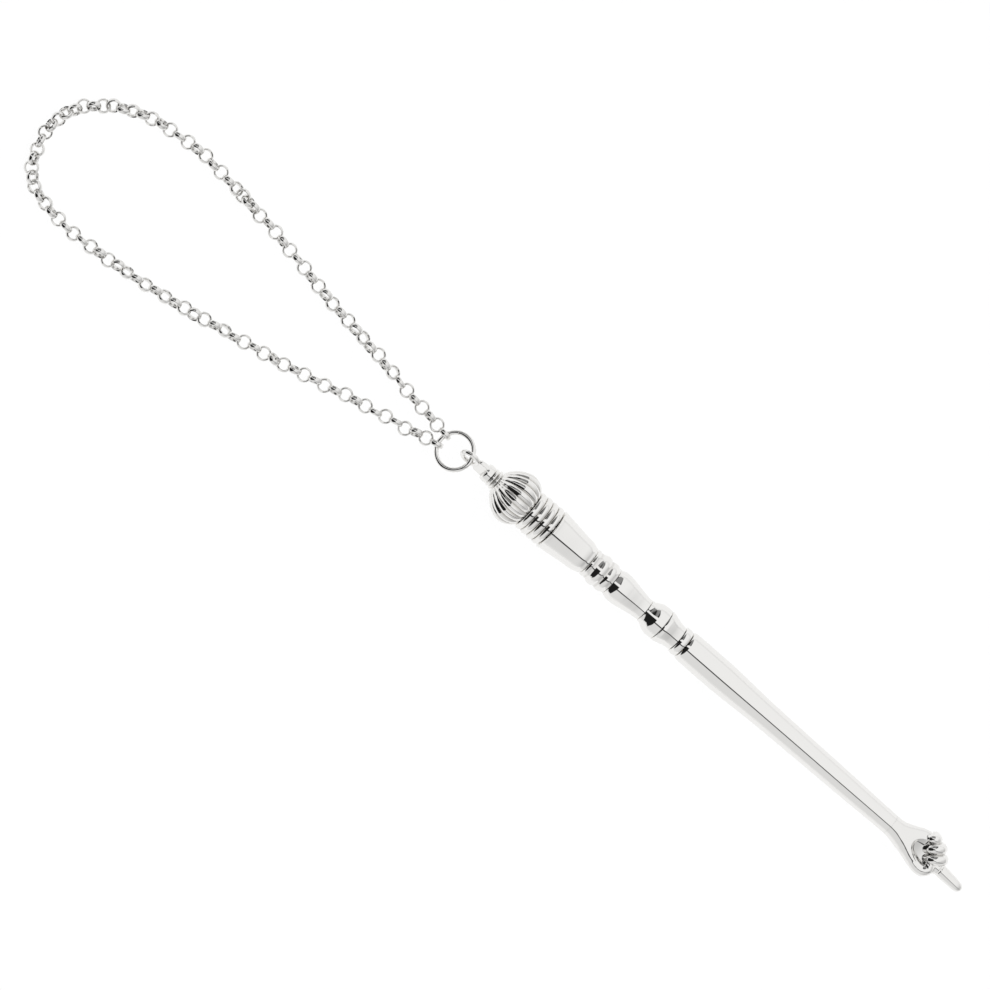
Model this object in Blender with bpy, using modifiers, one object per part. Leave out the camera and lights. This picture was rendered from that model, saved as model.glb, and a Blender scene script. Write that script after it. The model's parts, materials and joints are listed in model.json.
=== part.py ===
"""Reading pointer: a fluted bulb, a turned handle, a pointing hand and a chain loop.

The wand's pieces are built upright in the wand's own frame, with its axis on Z, the
hanging eye at the top and the fingertip at the bottom. A station is a distance down
that axis from the eye's tip. One empty lays the wand down on the surface, where it
rests on the bulb and on the cuff of the hand, and +X runs towards the fingertip.
"""

import math

import bmesh
import bpy
from mathutils import Matrix, Vector

MM = 0.001

# ---- smoothness of the solids
SIDES = 28
ARC_ROWS = 5
ROUND_ROWS = 3

# ---- fits
SEAM = 0.2 * MM  # between two turned pieces that are stacked end to end
BORE_CLEARANCE = 0.15 * MM  # round a rod, shank, bush or tenon in its hole
LINK_GAP = 0.3 * MM  # between an end link and the tube that stands for the chain

# ---- hanging eye: a drilled lug with a shank that holds the two neck rings
EYE_LOOP_R = 2.35 * MM
EYE_WIRE_R = 0.70 * MM
EYE_TURN = math.radians(25)  # of the lug about the wand's axis, from upright
TONGUE_WIDTH = 5.0 * MM
TONGUE_THICKNESS = 1.4 * MM
FLANGE_STATION = 8.2 * MM
FLANGE_LENGTH = 2.1 * MM
FLANGE_R = 2.5 * MM
SHANK_R = 1.2 * MM
SHANK_GRIP = 3.0 * MM  # how far the shank reaches into the bulb

NECK_UPPER_LENGTH = 0.9 * MM
NECK_UPPER_R = 2.6 * MM
NECK_LOWER_LENGTH = 0.8 * MM
NECK_LOWER_R = 2.75 * MM
NECK_ROOT_DEPTH = 0.3 * MM  # from a neck ring's crest to its edges

# ---- fluted bulb
BULB_LENGTH = 10.9 * MM
BULB_R = 7.62 * MM
BULB_NECK_R = 2.9 * MM
BULB_FOOT_R = 5.5 * MM
BULB_CREST = 6.7 * MM  # from the bulb's top to its widest place
BULB_ARC_SHARE = 0.93  # how much of a quarter ellipse the underside follows
BULB_LOBES = 20
LOBE_DEPTH = 0.45 * MM
LOBE_STEPS = 4  # points around one lobe
BULB_ROWS = 10

# ---- tie rod, and the bush in the shaft that it screws into
ROD_R = 1.25 * MM
ROD_END_GAP = 0.5 * MM
BUSH_R = 2.2 * MM
BUSH_LENGTH = 7.0 * MM
BUSH_HEAD_GAP = 0.3 * MM

# ---- turned handle, from the bulb to the shaft
COLLAR_ROOT_R = 5.5 * MM
COLLAR_BEAD_R = 5.95 * MM
COLLAR_BEADS = [1.9 * MM, 2.0 * MM, 2.0 * MM, 1.9 * MM]

GRIP_LENGTH = 13.3 * MM
GRIP_TOP_R = 6.05 * MM
GRIP_SHOULDER_R = 4.8 * MM
GRIP_END_R = 4.2 * MM
GRIP_COVE = 2.6 * MM

BAND_ROOT_R = 4.05 * MM
BAND_BEADS = [(1.2 * MM, 4.2 * MM), (3.2 * MM, 4.65 * MM), (3.6 * MM, 4.4 * MM)]

VASE_LENGTH = 11.6 * MM
VASE_TOP_R = 4.3 * MM
VASE_CREST_R = 4.55 * MM
VASE_CREST = 1.8 * MM
VASE_WAIST_R = 3.3 * MM

KNOP_UPPER_LENGTH = 5.9 * MM
KNOP_RISE = 3.9 * MM
KNOP_TOP_R = 3.4 * MM
KNOP_R = 4.7 * MM
KNOP_LOWER_LENGTH = 5.5 * MM
KNOP_END_R = 3.6 * MM

SHAFT_COLLAR_LENGTH = 2.2 * MM
SHAFT_COLLAR_R = 4.2 * MM
SHAFT_COLLAR_ROOT_R = 3.85 * MM

# ---- shaft: radius at shares of its length
SHAFT_LENGTH = 74.0 * MM
SHAFT_RADII = [
    (0.00, 4.05 * MM),
    (0.02, 4.38 * MM),
    (0.11, 4.49 * MM),
    (0.24, 4.30 * MM),
    (0.38, 3.84 * MM),
    (0.55, 3.58 * MM),
    (0.80, 3.28 * MM),
    (0.92, 3.03 * MM),
    (1.00, 2.95 * MM),
]
SHAFT_ROWS = 14
TENON_R = 1.6 * MM
TENON_LENGTH = 6.0 * MM

# ---- pointing hand, from the end of the shaft; "up" is the palm side
WRIST_LENGTH = 10.4 * MM
WRIST_END_R = 5.0 * MM
WRIST_ROWS = 6
PALM_HALF = (4.0 * MM, 5.1 * MM, 4.6 * MM)
PALM_UP = -0.9 * MM
PALM_DROP = 11.5 * MM
FIST_CENTRE = (1.0 * MM, 2.9 * MM)  # up and side of the solid under the folded fingers
FIST_HALF = (2.0 * MM, 2.2 * MM, 3.0 * MM)
FIST_DROP = 12.6 * MM
# each folded finger: (side, drop) of its knuckle, (side, drop) of its tip, radius
FOLDED_FINGERS = [
    ((5.2, 11.9), (3.0, 9.0), 1.25),
    ((3.8, 14.4), (1.4, 9.8), 1.50),
    ((1.9, 16.5), (-0.5, 10.8), 1.65),
]
KNUCKLE_UP = 2.5 * MM
FINGER_BACK_UP = -2.6 * MM
THUMB_JOINTS = [(0.6, -3.3, 7.5), (2.3, -4.2, 13.6), (3.4, -1.3, 15.6)]
THUMB_RADII = [1.5, 1.55, 1.3]
KNUCKLE_ROOT = (-0.5 * MM, -0.55 * MM)  # up and side of the index finger's axis
KNUCKLE_BASE_R = 2.0 * MM
KNUCKLE_BASE_DROP = 18.1 * MM
SEAT_R = 2.3 * MM  # of the flat that the index finger stands on
FINGER_LENGTH = 8.0 * MM
FINGER_ROOT_R = 1.80 * MM
FINGER_TIP_R = 1.45 * MM
FINGER_LEAN = math.radians(3)
FINGER_TENON_R = 1.0 * MM
FINGER_TENON_LENGTH = 3.0 * MM

# ---- jump ring and chain
RING_R = 5.03 * MM  # to the middle of its wire
RING_WIRE_R = 0.675 * MM
RING_SLOPE = math.radians(24)  # how far it droops from the eye to the chain
RING_YAW = math.radians(13)  # where on the ring the eye holds it
RING_IN_EYE = (0.55 * MM, -0.35 * MM)  # from the middle of the hole: along, up the lug
END_LINK_SPREAD = math.radians(19)  # each side of the ring's far point
LINK_OUTER_R = 2.1 * MM
LINK_THICKNESS = 0.55 * MM
LINK_WIDTH = 1.5 * MM
LINK_OFFSET = 0.5 * MM  # from the ring's wire to the middle of the end link
LINK_SLOPE = math.radians(30)
CHAIN_TUBE_R = 2.1 * MM
CHAIN_POINTS = 38
# the loop on the surface, in millimetres from the middle of the two end links' ring
# contacts, from the +Y strand round to the -Y strand
CHAIN_ROUTE = [
    (-15.0, 3.7),
    (-31.0, 6.1),
    (-47.0, 8.5),
    (-63.0, 11.3),
    (-79.0, 13.6),
    (-95.0, 15.2),
    (-104.0, 15.5),
    (-112.0, 15.1),
    (-119.0, 13.2),
    (-126.0, 9.4),
    (-131.0, 3.6),
    (-133.4, -4.0),
    (-132.0, -12.0),
    (-128.0, -18.2),
    (-121.5, -21.4),
    (-113.5, -22.6),
    (-105.5, -22.6),
    (-89.5, -20.7),
    (-73.5, -18.2),
    (-57.5, -15.0),
    (-42.0, -11.7),
    (-26.0, -7.7),
    (-14.0, -5.0),
]

# ---- stations that follow from the sizes above
NECK_UPPER = FLANGE_STATION + FLANGE_LENGTH + SEAM
NECK_LOWER = NECK_UPPER + NECK_UPPER_LENGTH + SEAM
BULB = NECK_LOWER + NECK_LOWER_LENGTH + SEAM
COLLAR = BULB + BULB_LENGTH + SEAM
GRIP = COLLAR + sum(COLLAR_BEADS) + SEAM
BAND = GRIP + GRIP_LENGTH + SEAM
VASE = BAND + sum(length for length, _ in BAND_BEADS) + SEAM
KNOP_UPPER = VASE + VASE_LENGTH + SEAM
KNOP_LOWER = KNOP_UPPER + KNOP_UPPER_LENGTH + SEAM
SHAFT_COLLAR = KNOP_LOWER + KNOP_LOWER_LENGTH + SEAM
SHAFT = SHAFT_COLLAR + SHAFT_COLLAR_LENGTH + SEAM
HAND = SHAFT + SHAFT_LENGTH + SEAM
FINGER = HAND + KNUCKLE_BASE_DROP + SEAM
TIP = FINGER + FINGER_LENGTH

BORE_R = ROD_R + BORE_CLEARANCE
SHANK_END = BULB + SHANK_GRIP
ROD_TOP = SHANK_END + ROD_END_GAP
BUSH = SHAFT + BUSH_HEAD_GAP
ROD_END = BUSH + BUSH_LENGTH

# ---- how the wand lies: on the bulb's crest and the cuff's edge
BULB_CREST_STATION = BULB + BULB_CREST
CUFF_STATION = HAND + WRIST_LENGTH
PITCH = math.atan2(BULB_R - WRIST_END_R, CUFF_STATION - BULB_CREST_STATION)
EYE_HEIGHT = BULB_R * math.cos(PITCH) + BULB_CREST_STATION * math.sin(PITCH)
EYE_CENTRE = EYE_LOOP_R + EYE_WIRE_R
RING_REACH = RING_R * math.cos(RING_YAW) * math.cos(RING_SLOPE)
RING_CENTRE_STATION = EYE_CENTRE + RING_IN_EYE[0] - RING_REACH
RING_FAR_STATION = RING_CENTRE_STATION - RING_R * math.cos(RING_SLOPE) - RING_WIRE_R
EYE_TIP_X = -(RING_FAR_STATION + TIP * math.cos(PITCH)) / 2

SILVER = ((0.86, 0.86, 0.87), 0.06, 1.0)
CHAIN_SILVER = ((0.80, 0.80, 0.81), 0.12, 1.0)
BRASS = ((0.72, 0.56, 0.28), 0.30, 1.0)
STEEL = ((0.55, 0.56, 0.58), 0.35, 1.0)


def clear_scene():
    """Remove every object of the scene."""
    for obj in list(bpy.data.objects):
        bpy.data.objects.remove(obj, do_unlink=True)


def collection(name):
    """A new collection linked to the scene."""
    made = bpy.data.collections.new(name)
    bpy.context.scene.collection.children.link(made)
    return made


def material(name, finish):
    """A Principled material from ((r, g, b), roughness, metallic)."""
    colour, roughness, metallic = finish
    made = bpy.data.materials.new(name)
    made.use_nodes = True
    shader = made.node_tree.nodes["Principled BSDF"]
    shader.inputs["Base Color"].default_value = (*colour, 1.0)
    shader.inputs["Roughness"].default_value = roughness
    shader.inputs["Metallic"].default_value = metallic
    return made


class Bench:
    """Where pieces are made: the two collections and the frame that they are set in."""

    def __init__(self):
        self.parts = collection("reading_pointer")
        self.cutters = collection("cutters")

    def place(self, obj, parent=None, helper=False):
        """Link an object among the parts or the helpers, and set it in its parent's frame."""
        (self.cutters if helper else self.parts).objects.link(obj)
        if helper:
            obj.hide_render = True
            obj.display_type = "WIRE"
        obj.parent = parent
        return obj

    def piece(self, name, mesh, finish, parent=None, helper=False):
        """A mesh object, shaded smooth, with a material of its own unless it is a helper."""
        obj = bpy.data.objects.new(name, mesh)
        mesh.shade_smooth()
        mesh.set_sharp_from_angle(angle=math.radians(35))
        if not helper:
            mesh.materials.append(material(name, finish))
        return self.place(obj, parent, helper)

    def empty(self, name, location, rotation, parent=None):
        """An empty that carries a frame: its place and its turn."""
        frame = self.place(bpy.data.objects.new(name, None), parent)
        frame.location = location
        frame.rotation_euler = rotation
        return frame

    def join(self, target, others, operation="UNION"):
        """Add an exact Boolean to the target for each of the other objects."""
        for other in others:
            cut = target.modifiers.new(f"{operation.lower()} {other.name}", "BOOLEAN")
            cut.operation = operation
            cut.solver = "EXACT"
            cut.object = other


def turned(name, profile, loop=False, sides=SIDES):
    """A turned mesh from (radius, station) pairs that run down the outer side.

    An open profile starts and ends on the axis. A loop closes on itself, as on a ring.
    """
    mesh = bpy.data.meshes.new(name)
    points = [(radius, 0.0, -station) for radius, station in profile]
    edges = [(i, i + 1) for i in range(len(points) - 1)]
    if loop:
        edges.append((len(points) - 1, 0))
    mesh.from_pydata(points, edges, [])
    maker = bpy.data.objects.new(name, mesh)
    bpy.context.scene.collection.objects.link(maker)
    screw = maker.modifiers.new("turn", "SCREW")
    screw.axis = "Z"
    screw.steps = sides
    screw.render_steps = sides
    screw.use_merge_vertices = True
    screw.merge_threshold = 1e-6
    graph = bpy.context.evaluated_depsgraph_get()
    made = bpy.data.meshes.new_from_object(maker.evaluated_get(graph))
    bpy.data.objects.remove(maker, do_unlink=True)
    made.name = name
    return made


def arc_blend(start, end, rows, shape):
    """Rows from one (radius, station) to the next; shape maps 0..1 to 0..1 for the radius."""
    (r0, s0), (r1, s1) = start, end
    shares = [i / rows for i in range(rows + 1)]
    return [(r0 + (r1 - r0) * shape(t), s0 + (s1 - s0) * t) for t in shares]


def ease(t):
    """An S curve, level at both ends."""
    return (1 - math.cos(math.pi * t)) / 2


def swell(t):
    """A quarter sine: steep at its start and level at its end."""
    return math.sin(math.pi * t / 2)


def bead(root_r, crest_r, top, length, rows=ARC_ROWS):
    """A half-round bead between two roots."""
    shares = [i / rows for i in range(rows + 1)]
    return [(root_r + (crest_r - root_r) * math.sin(math.pi * t), top + length * t) for t in shares]


def faired(keys, rows):
    """Rows on a smooth curve through (share, radius) keys, as (radius, share)."""
    made = []
    for i in range(rows + 1):
        at = i / rows
        k = max(j for j in range(len(keys) - 1) if keys[j][0] <= at + 1e-9)
        before = keys[max(k - 1, 0)]
        start, end = keys[k], keys[k + 1]
        after = keys[min(k + 2, len(keys) - 1)]
        span = end[0] - start[0]
        slope_in = (end[1] - before[1]) / (end[0] - before[0]) * span
        slope_out = (after[1] - start[1]) / (after[0] - start[0]) * span
        t = (at - start[0]) / span
        radius = (
            (2 * t**3 - 3 * t**2 + 1) * start[1]
            + (t**3 - 2 * t**2 + t) * slope_in
            + (3 * t**2 - 2 * t**3) * end[1]
            + (t**3 - t**2) * slope_out
        )
        made.append((radius, at))
    return made


def sleeve(name, outline, bore_r=BORE_R):
    """A turned piece with a bore all the way through."""
    top, bottom = outline[0][1], outline[-1][1]
    return turned(name, outline + [(bore_r, bottom), (bore_r, top)], loop=True)


def torus_mesh(name, ring_r, wire_r, sides, wire_sides):
    """A round ring of round wire about Z."""
    turns = [2 * math.pi * i / wire_sides for i in range(wire_sides)]
    outline = [(ring_r + wire_r * math.cos(a), wire_r * math.sin(a)) for a in turns]
    return turned(name, outline, loop=True, sides=sides)


def capsule(bench, name, start, end, start_r, end_r, parent):
    """A helper rod with round ends between two points, each end with its own radius."""
    start, end = Vector(start), Vector(end)
    length = (end - start).length
    quarter = [math.pi / 2 * i / ROUND_ROWS for i in range(ROUND_ROWS + 1)]
    profile = [(start_r * math.sin(a), -start_r * math.cos(a)) for a in quarter]
    profile += [(end_r * math.cos(a), length + end_r * math.sin(a)) for a in quarter]
    profile[0] = (0.0, profile[0][1])
    profile[-1] = (0.0, profile[-1][1])
    obj = bench.piece(name, turned(name, profile, sides=12), None, parent, helper=True)
    obj.location = start
    obj.rotation_euler = (start - end).to_track_quat("Z", "Y").to_euler()
    return obj


def ellipsoid(bench, name, centre, half, parent):
    """A helper ellipsoid with its three half sizes along the wand's axes."""
    mesh = bpy.data.meshes.new(name)
    body = bmesh.new()
    bmesh.ops.create_uvsphere(body, u_segments=18, v_segments=10, radius=1.0)
    bmesh.ops.scale(body, vec=half, verts=body.verts)
    body.to_mesh(mesh)
    body.free()
    obj = bench.piece(name, mesh, None, parent, helper=True)
    obj.location = centre
    return obj


def rounded_box(bench, name, centre, size, parent, turn):
    """A helper box with bevelled edges, turned about the wand's axis."""
    mesh = bpy.data.meshes.new(name)
    body = bmesh.new()
    bmesh.ops.create_cube(body, size=1.0)
    bmesh.ops.scale(body, vec=size, verts=body.verts)
    body.to_mesh(mesh)
    body.free()
    obj = bench.piece(name, mesh, None, parent, helper=True)
    obj.location = centre
    obj.rotation_euler = (0, 0, turn)
    edge = obj.modifiers.new("edges", "BEVEL")
    edge.width = min(size) / 4
    edge.segments = 2
    return obj


def hanging_eye(bench, wand):
    """The lug that the jump ring hangs in: loop, tongue, flange and shank in one casting."""
    flange_end = FLANGE_STATION + FLANGE_LENGTH
    outline = [(0, FLANGE_STATION), (FLANGE_R * 0.86, FLANGE_STATION)]
    outline += [(FLANGE_R, FLANGE_STATION + FLANGE_LENGTH * 0.3), (FLANGE_R, flange_end)]
    outline += [(SHANK_R, flange_end), (SHANK_R, SHANK_END), (0, SHANK_END)]
    eye = bench.piece("hanging_eye", turned("hanging_eye", outline), SILVER, wand)
    loop_mesh = torus_mesh("eye_loop", EYE_LOOP_R, EYE_WIRE_R, SIDES, 12)
    loop = bench.piece("eye_loop", loop_mesh, None, wand, helper=True)
    loop.location = (0, 0, -EYE_CENTRE)
    loop.rotation_euler = (math.pi / 2, 0, EYE_TURN)
    top = EYE_CENTRE + EYE_LOOP_R
    bottom = FLANGE_STATION + FLANGE_LENGTH * 0.4
    size = (TONGUE_WIDTH, TONGUE_THICKNESS, bottom - top)
    centre = (0, 0, -(top + bottom) / 2)
    tongue = rounded_box(bench, "eye_tongue", centre, size, wand, EYE_TURN)
    bench.join(eye, [loop, tongue])
    return eye


def neck_rings(bench, wand):
    """The two thin rings that are clamped between the eye's flange and the bulb."""
    rings = [
        ("neck_ring_upper", NECK_UPPER, NECK_UPPER_LENGTH, NECK_UPPER_R),
        ("neck_ring_lower", NECK_LOWER, NECK_LOWER_LENGTH, NECK_LOWER_R),
    ]
    for name, top, length, crest in rings:
        outline = bead(crest - NECK_ROOT_DEPTH, crest, top, length, rows=4)
        bench.piece(name, sleeve(name, outline, SHANK_R + BORE_CLEARANCE), SILVER, wand)


def bulb_outline():
    """The bulb's crest line, as (radius, drop from its top)."""
    crest = (BULB_R, BULB_CREST)
    upper = arc_blend((BULB_NECK_R, 0.0), crest, BULB_ROWS // 2, swell)
    lower_span = 1 - math.sqrt(1 - BULB_ARC_SHARE**2)
    lower = arc_blend(
        crest,
        (BULB_FOOT_R, BULB_LENGTH),
        BULB_ROWS // 2,
        lambda t: (1 - math.sqrt(1 - (BULB_ARC_SHARE * t) ** 2)) / lower_span,
    )
    return upper + lower[1:]


def fluted_bulb(bench, wand):
    """The bulb: a turned body whose rows are drawn in between the lobes."""
    rows = [(radius, BULB + drop) for radius, drop in bulb_outline()]
    bore = SHANK_R + BORE_CLEARANCE
    top, bottom = rows[0][1], rows[-1][1]
    profile = rows + [(BORE_R, bottom), (BORE_R, ROD_TOP), (bore, ROD_TOP), (bore, top)]
    mesh = turned("fluted_bulb", profile, loop=True, sides=BULB_LOBES * LOBE_STEPS)
    for vertex in mesh.vertices:
        radius = math.hypot(vertex.co.x, vertex.co.y)
        if radius < BULB_NECK_R * 0.9:
            continue
        share = min(1.0, (radius - BULB_NECK_R * 0.9) / (BULB_R - BULB_NECK_R))
        turn = math.atan2(vertex.co.y, vertex.co.x)
        hollow = 1 - abs(math.cos(BULB_LOBES * turn / 2))
        drawn = 1 - LOBE_DEPTH * math.sqrt(share) * hollow / radius
        vertex.co.x *= drawn
        vertex.co.y *= drawn
    bench.piece("fluted_bulb", mesh, SILVER, wand)


def collar_outline():
    """Four beads in a row."""
    made, top = [], COLLAR
    for length in COLLAR_BEADS:
        made += bead(COLLAR_ROOT_R, COLLAR_BEAD_R, top, length)[1 if made else 0 :]
        top += length
    return made


def grip_outline():
    """A long taper that ends in a short cove."""
    end = GRIP + GRIP_LENGTH
    shoulder = (GRIP_SHOULDER_R, end - GRIP_COVE)
    return [(GRIP_TOP_R, GRIP)] + arc_blend(shoulder, (GRIP_END_R, end), ARC_ROWS, swell)


def band_outline():
    """Three beads of their own lengths and heights."""
    made, top = [], BAND
    for length, crest in BAND_BEADS:
        made += bead(BAND_ROOT_R, crest, top, length, rows=4)[1 if made else 0 :]
        top += length
    return made


def vase_outline():
    """A short swell, then a long S curve down to the waist."""
    crest = (VASE_CREST_R, VASE + VASE_CREST)
    upper = arc_blend((VASE_TOP_R, VASE), crest, 2, swell)
    return upper + arc_blend(crest, (VASE_WAIST_R, VASE + VASE_LENGTH), 6, ease)[1:]


def handle(bench, wand):
    """The turned pieces that are threaded on the tie rod between the bulb and the shaft."""
    knop_crest = (KNOP_R, KNOP_UPPER + KNOP_RISE)
    knop_upper = arc_blend((KNOP_TOP_R, KNOP_UPPER), knop_crest, ARC_ROWS, ease)
    knop_upper.append((KNOP_R, KNOP_UPPER + KNOP_UPPER_LENGTH))
    knop_end = (KNOP_END_R, KNOP_LOWER + KNOP_LOWER_LENGTH)
    knop_lower = arc_blend((KNOP_R, KNOP_LOWER), knop_end, ARC_ROWS, ease)
    collar_bead = bead(SHAFT_COLLAR_ROOT_R, SHAFT_COLLAR_R, SHAFT_COLLAR, SHAFT_COLLAR_LENGTH)
    outlines = {
        "reeded_collar": collar_outline(),
        "grip": grip_outline(),
        "centre_band": band_outline(),
        "vase_sleeve": vase_outline(),
        "knop_upper": knop_upper,
        "knop_lower": knop_lower,
        "shaft_collar": collar_bead,
    }
    for name, outline in outlines.items():
        bench.piece(name, sleeve(name, outline), SILVER, wand)


def shaft(bench, wand):
    """The long shaft, bored at its top for the bush and at its end for the hand's tenon."""
    seat_r = BUSH_R + BORE_CLEARANCE
    socket_r = TENON_R + BORE_CLEARANCE
    seat_end = ROD_END + BORE_CLEARANCE
    end = SHAFT + SHAFT_LENGTH
    socket_top = end - TENON_LENGTH - BORE_CLEARANCE
    rows = faired(SHAFT_RADII, SHAFT_ROWS)
    profile = [(0, seat_end), (seat_r, seat_end), (seat_r, SHAFT)]
    profile += [(radius, SHAFT + share * SHAFT_LENGTH) for radius, share in rows]
    profile += [(socket_r, end), (socket_r, socket_top), (0, socket_top)]
    bench.piece("shaft", turned("shaft", profile), SILVER, wand)


def tie_rod(bench, wand):
    """The rod that clamps the handle's pieces together, and the bush that it screws into."""
    rod = [(0, ROD_TOP + SEAM), (ROD_R, ROD_TOP + SEAM), (ROD_R, ROD_END), (0, ROD_END)]
    bench.piece("tie_rod", turned("tie_rod", rod, sides=16), STEEL, wand)
    bush = [(BUSH_R, BUSH), (BUSH_R, BUSH + BUSH_LENGTH)]
    bench.piece("shaft_bush", sleeve("shaft_bush", bush), BRASS, wand)


def finger_frame(bench, wand):
    """The index finger's own frame: its axis, leaning a little to the thumb's side."""
    up, side = KNUCKLE_ROOT
    return bench.empty("finger_axis", (up, side, -FINGER), (-FINGER_LEAN, 0, 0), wand)


def hand(bench, wand, finger_axis):
    """The cast hand: wrist, palm, three folded fingers, thumb and the index's knuckle."""
    root_r = SHAFT_RADII[-1][1]
    wrist_end = HAND + WRIST_LENGTH
    tenon_top = HAND - TENON_LENGTH
    profile = [(0, tenon_top), (TENON_R, tenon_top), (TENON_R, HAND)]
    profile += arc_blend((root_r, HAND), (WRIST_END_R, wrist_end), WRIST_ROWS, flare)
    profile.append((0, wrist_end))
    body = bench.piece("pointing_hand", turned("pointing_hand", profile), SILVER, wand)
    palm_centre = (PALM_UP, 0, -(HAND + PALM_DROP))
    filler_centre = (*FIST_CENTRE, -(HAND + FIST_DROP))
    lumps = [
        ellipsoid(bench, "palm", palm_centre, PALM_HALF, wand),
        ellipsoid(bench, "fist_filler", filler_centre, FIST_HALF, wand),
    ]
    for i, (knuckle, tip, radius) in enumerate(FOLDED_FINGERS):
        lumps += folded_finger(bench, i, knuckle, tip, radius * MM, wand)
    joints = [(up * MM, side * MM, -(HAND + drop * MM)) for up, side, drop in THUMB_JOINTS]
    radii = [radius * MM for radius in THUMB_RADII]
    for i in range(len(joints) - 1):
        ends = (joints[i], joints[i + 1], radii[i], radii[i + 1])
        lumps.append(capsule(bench, f"thumb_{i}", *ends, wand))
    up, side = KNUCKLE_ROOT
    base_start = (up, side, -(HAND + WRIST_LENGTH))
    base_end = (up, side, -(FINGER - SEAM))
    lumps.append(capsule(bench, "index_base", base_start, base_end, *[KNUCKLE_BASE_R] * 2, wand))
    bench.join(body, lumps)
    bench.join(body, [index_face(bench, finger_axis)], "DIFFERENCE")
    return body


def flare(t):
    """The wrist's curve: slow at first, then an even slope."""
    return 0.45 * t + 0.55 * t * t


def folded_finger(bench, index, knuckle, tip, radius, wand):
    """Two rods: one from the back of the hand to the knuckle, one back along the palm."""
    (side, drop), (tip_side, tip_drop) = knuckle, tip
    at = -(HAND + drop * MM) + radius
    bend = (KNUCKLE_UP, side * MM, at)
    back = (FINGER_BACK_UP, side * MM * 0.9, at + radius / 2)
    end = (KNUCKLE_UP + radius / 3, tip_side * MM, -(HAND + tip_drop * MM))
    return [
        capsule(bench, f"finger_{index}_back", back, bend, radius, radius, wand),
        capsule(bench, f"finger_{index}_fold", bend, end, radius, radius * 0.9, wand),
    ]


def index_face(bench, finger_axis):
    """The cutter that leaves a flat seat and a socket for the index finger."""
    room = 2 * KNUCKLE_BASE_R
    socket_r = FINGER_TENON_R + BORE_CLEARANCE
    socket_top = -(SEAM + FINGER_TENON_LENGTH + BORE_CLEARANCE)
    profile = [(0, socket_top), (socket_r, socket_top), (socket_r, -SEAM)]
    profile += [(SEAT_R, -SEAM), (SEAT_R, room), (0, room)]
    return bench.piece("index_seat", turned("index_seat", profile), None, finger_axis, helper=True)


def index_finger(bench, finger_axis):
    """The straight index finger: a tapered rod with a round tip and a tenon."""
    quarter = [math.pi / 2 * i / ARC_ROWS for i in range(ARC_ROWS + 1)]
    tip_top = FINGER_LENGTH - FINGER_TIP_R
    profile = [(0, -FINGER_TENON_LENGTH), (FINGER_TENON_R, -FINGER_TENON_LENGTH)]
    profile += [(FINGER_TENON_R, 0), (FINGER_ROOT_R, 0)]
    profile += [(FINGER_TIP_R * math.cos(a), tip_top + FINGER_TIP_R * math.sin(a)) for a in quarter]
    profile[-1] = (0.0, FINGER_LENGTH)
    bench.piece("index_finger", turned("index_finger", profile, sides=20), SILVER, finger_axis)


def ring_frame():
    """(hinge point in the eye, ring's centre, hinge axis, ring's axes as columns)."""
    along, up_lug = RING_IN_EYE
    station = EYE_CENTRE + along
    hinge = Vector(
        (
            EYE_TIP_X + station * math.cos(PITCH),
            up_lug * math.sin(EYE_TURN),
            EYE_HEIGHT - station * math.sin(PITCH) + up_lug * math.cos(EYE_TURN),
        )
    )
    turn = Matrix.Rotation(-RING_SLOPE, 3, "Y")
    towards_eye = turn @ Vector((math.cos(RING_YAW), math.sin(RING_YAW), 0))
    axis = turn @ Vector((-math.sin(RING_YAW), math.cos(RING_YAW), 0))
    return hinge, hinge - RING_R * towards_eye, axis, turn


def jump_ring(bench):
    """The round ring that joins the eye to the chain, on an empty at its hinge in the eye."""
    hinge, centre, _, turn = ring_frame()
    pivot = bench.empty("ring_pivot", hinge, (0, 0, 0))
    mesh = torus_mesh("jump_ring", RING_R, RING_WIRE_R, 36, 12)
    ring = bench.piece("jump_ring", mesh, SILVER, pivot)
    ring.location = centre - hinge
    ring.rotation_euler = turn.to_euler()


def chain_hinge():
    """The middle of the two places where the end links hang on the ring."""
    _, centre, _, turn = ring_frame()
    return centre + turn @ Vector((-RING_R * math.cos(END_LINK_SPREAD), 0, 0))


def end_link_places():
    """(name, middle of the link, direction of its strand) for the two end links."""
    middle = chain_hinge()
    places = []
    reach = RING_R * math.sin(END_LINK_SPREAD)
    for name, side, towards in (
        ("end_link_upper", 1, CHAIN_ROUTE[0]),
        ("end_link_lower", -1, CHAIN_ROUTE[-1]),
    ):
        contact = middle + Vector((0, side * reach, 0))
        aim = middle + Vector((towards[0] * MM, towards[1] * MM, 0)) - contact
        flat = Vector((aim.x, aim.y, 0)).normalized()
        strand = flat * math.cos(LINK_SLOPE) - Vector((0, 0, math.sin(LINK_SLOPE)))
        places.append((name, contact + strand * LINK_OFFSET, strand))
    return places


def end_links(bench, pivot):
    """The chain's first and last links, upright round the ring's wire."""
    inner = LINK_OUTER_R - LINK_THICKNESS
    half = LINK_WIDTH / 2
    belly = LINK_THICKNESS * 0.35
    outline = [
        (LINK_OUTER_R - belly, -half),
        (LINK_OUTER_R, -half * 0.45),
        (LINK_OUTER_R, half * 0.45),
        (LINK_OUTER_R - belly, half),
        (inner, half * 0.8),
        (inner, -half * 0.8),
    ]
    for name, middle, strand in end_link_places():
        link = bench.piece(name, turned(name, outline, loop=True, sides=24), CHAIN_SILVER, pivot)
        link.location = middle - pivot.location
        link.rotation_euler = (math.pi / 2, 0, math.atan2(strand.y, strand.x))


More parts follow.
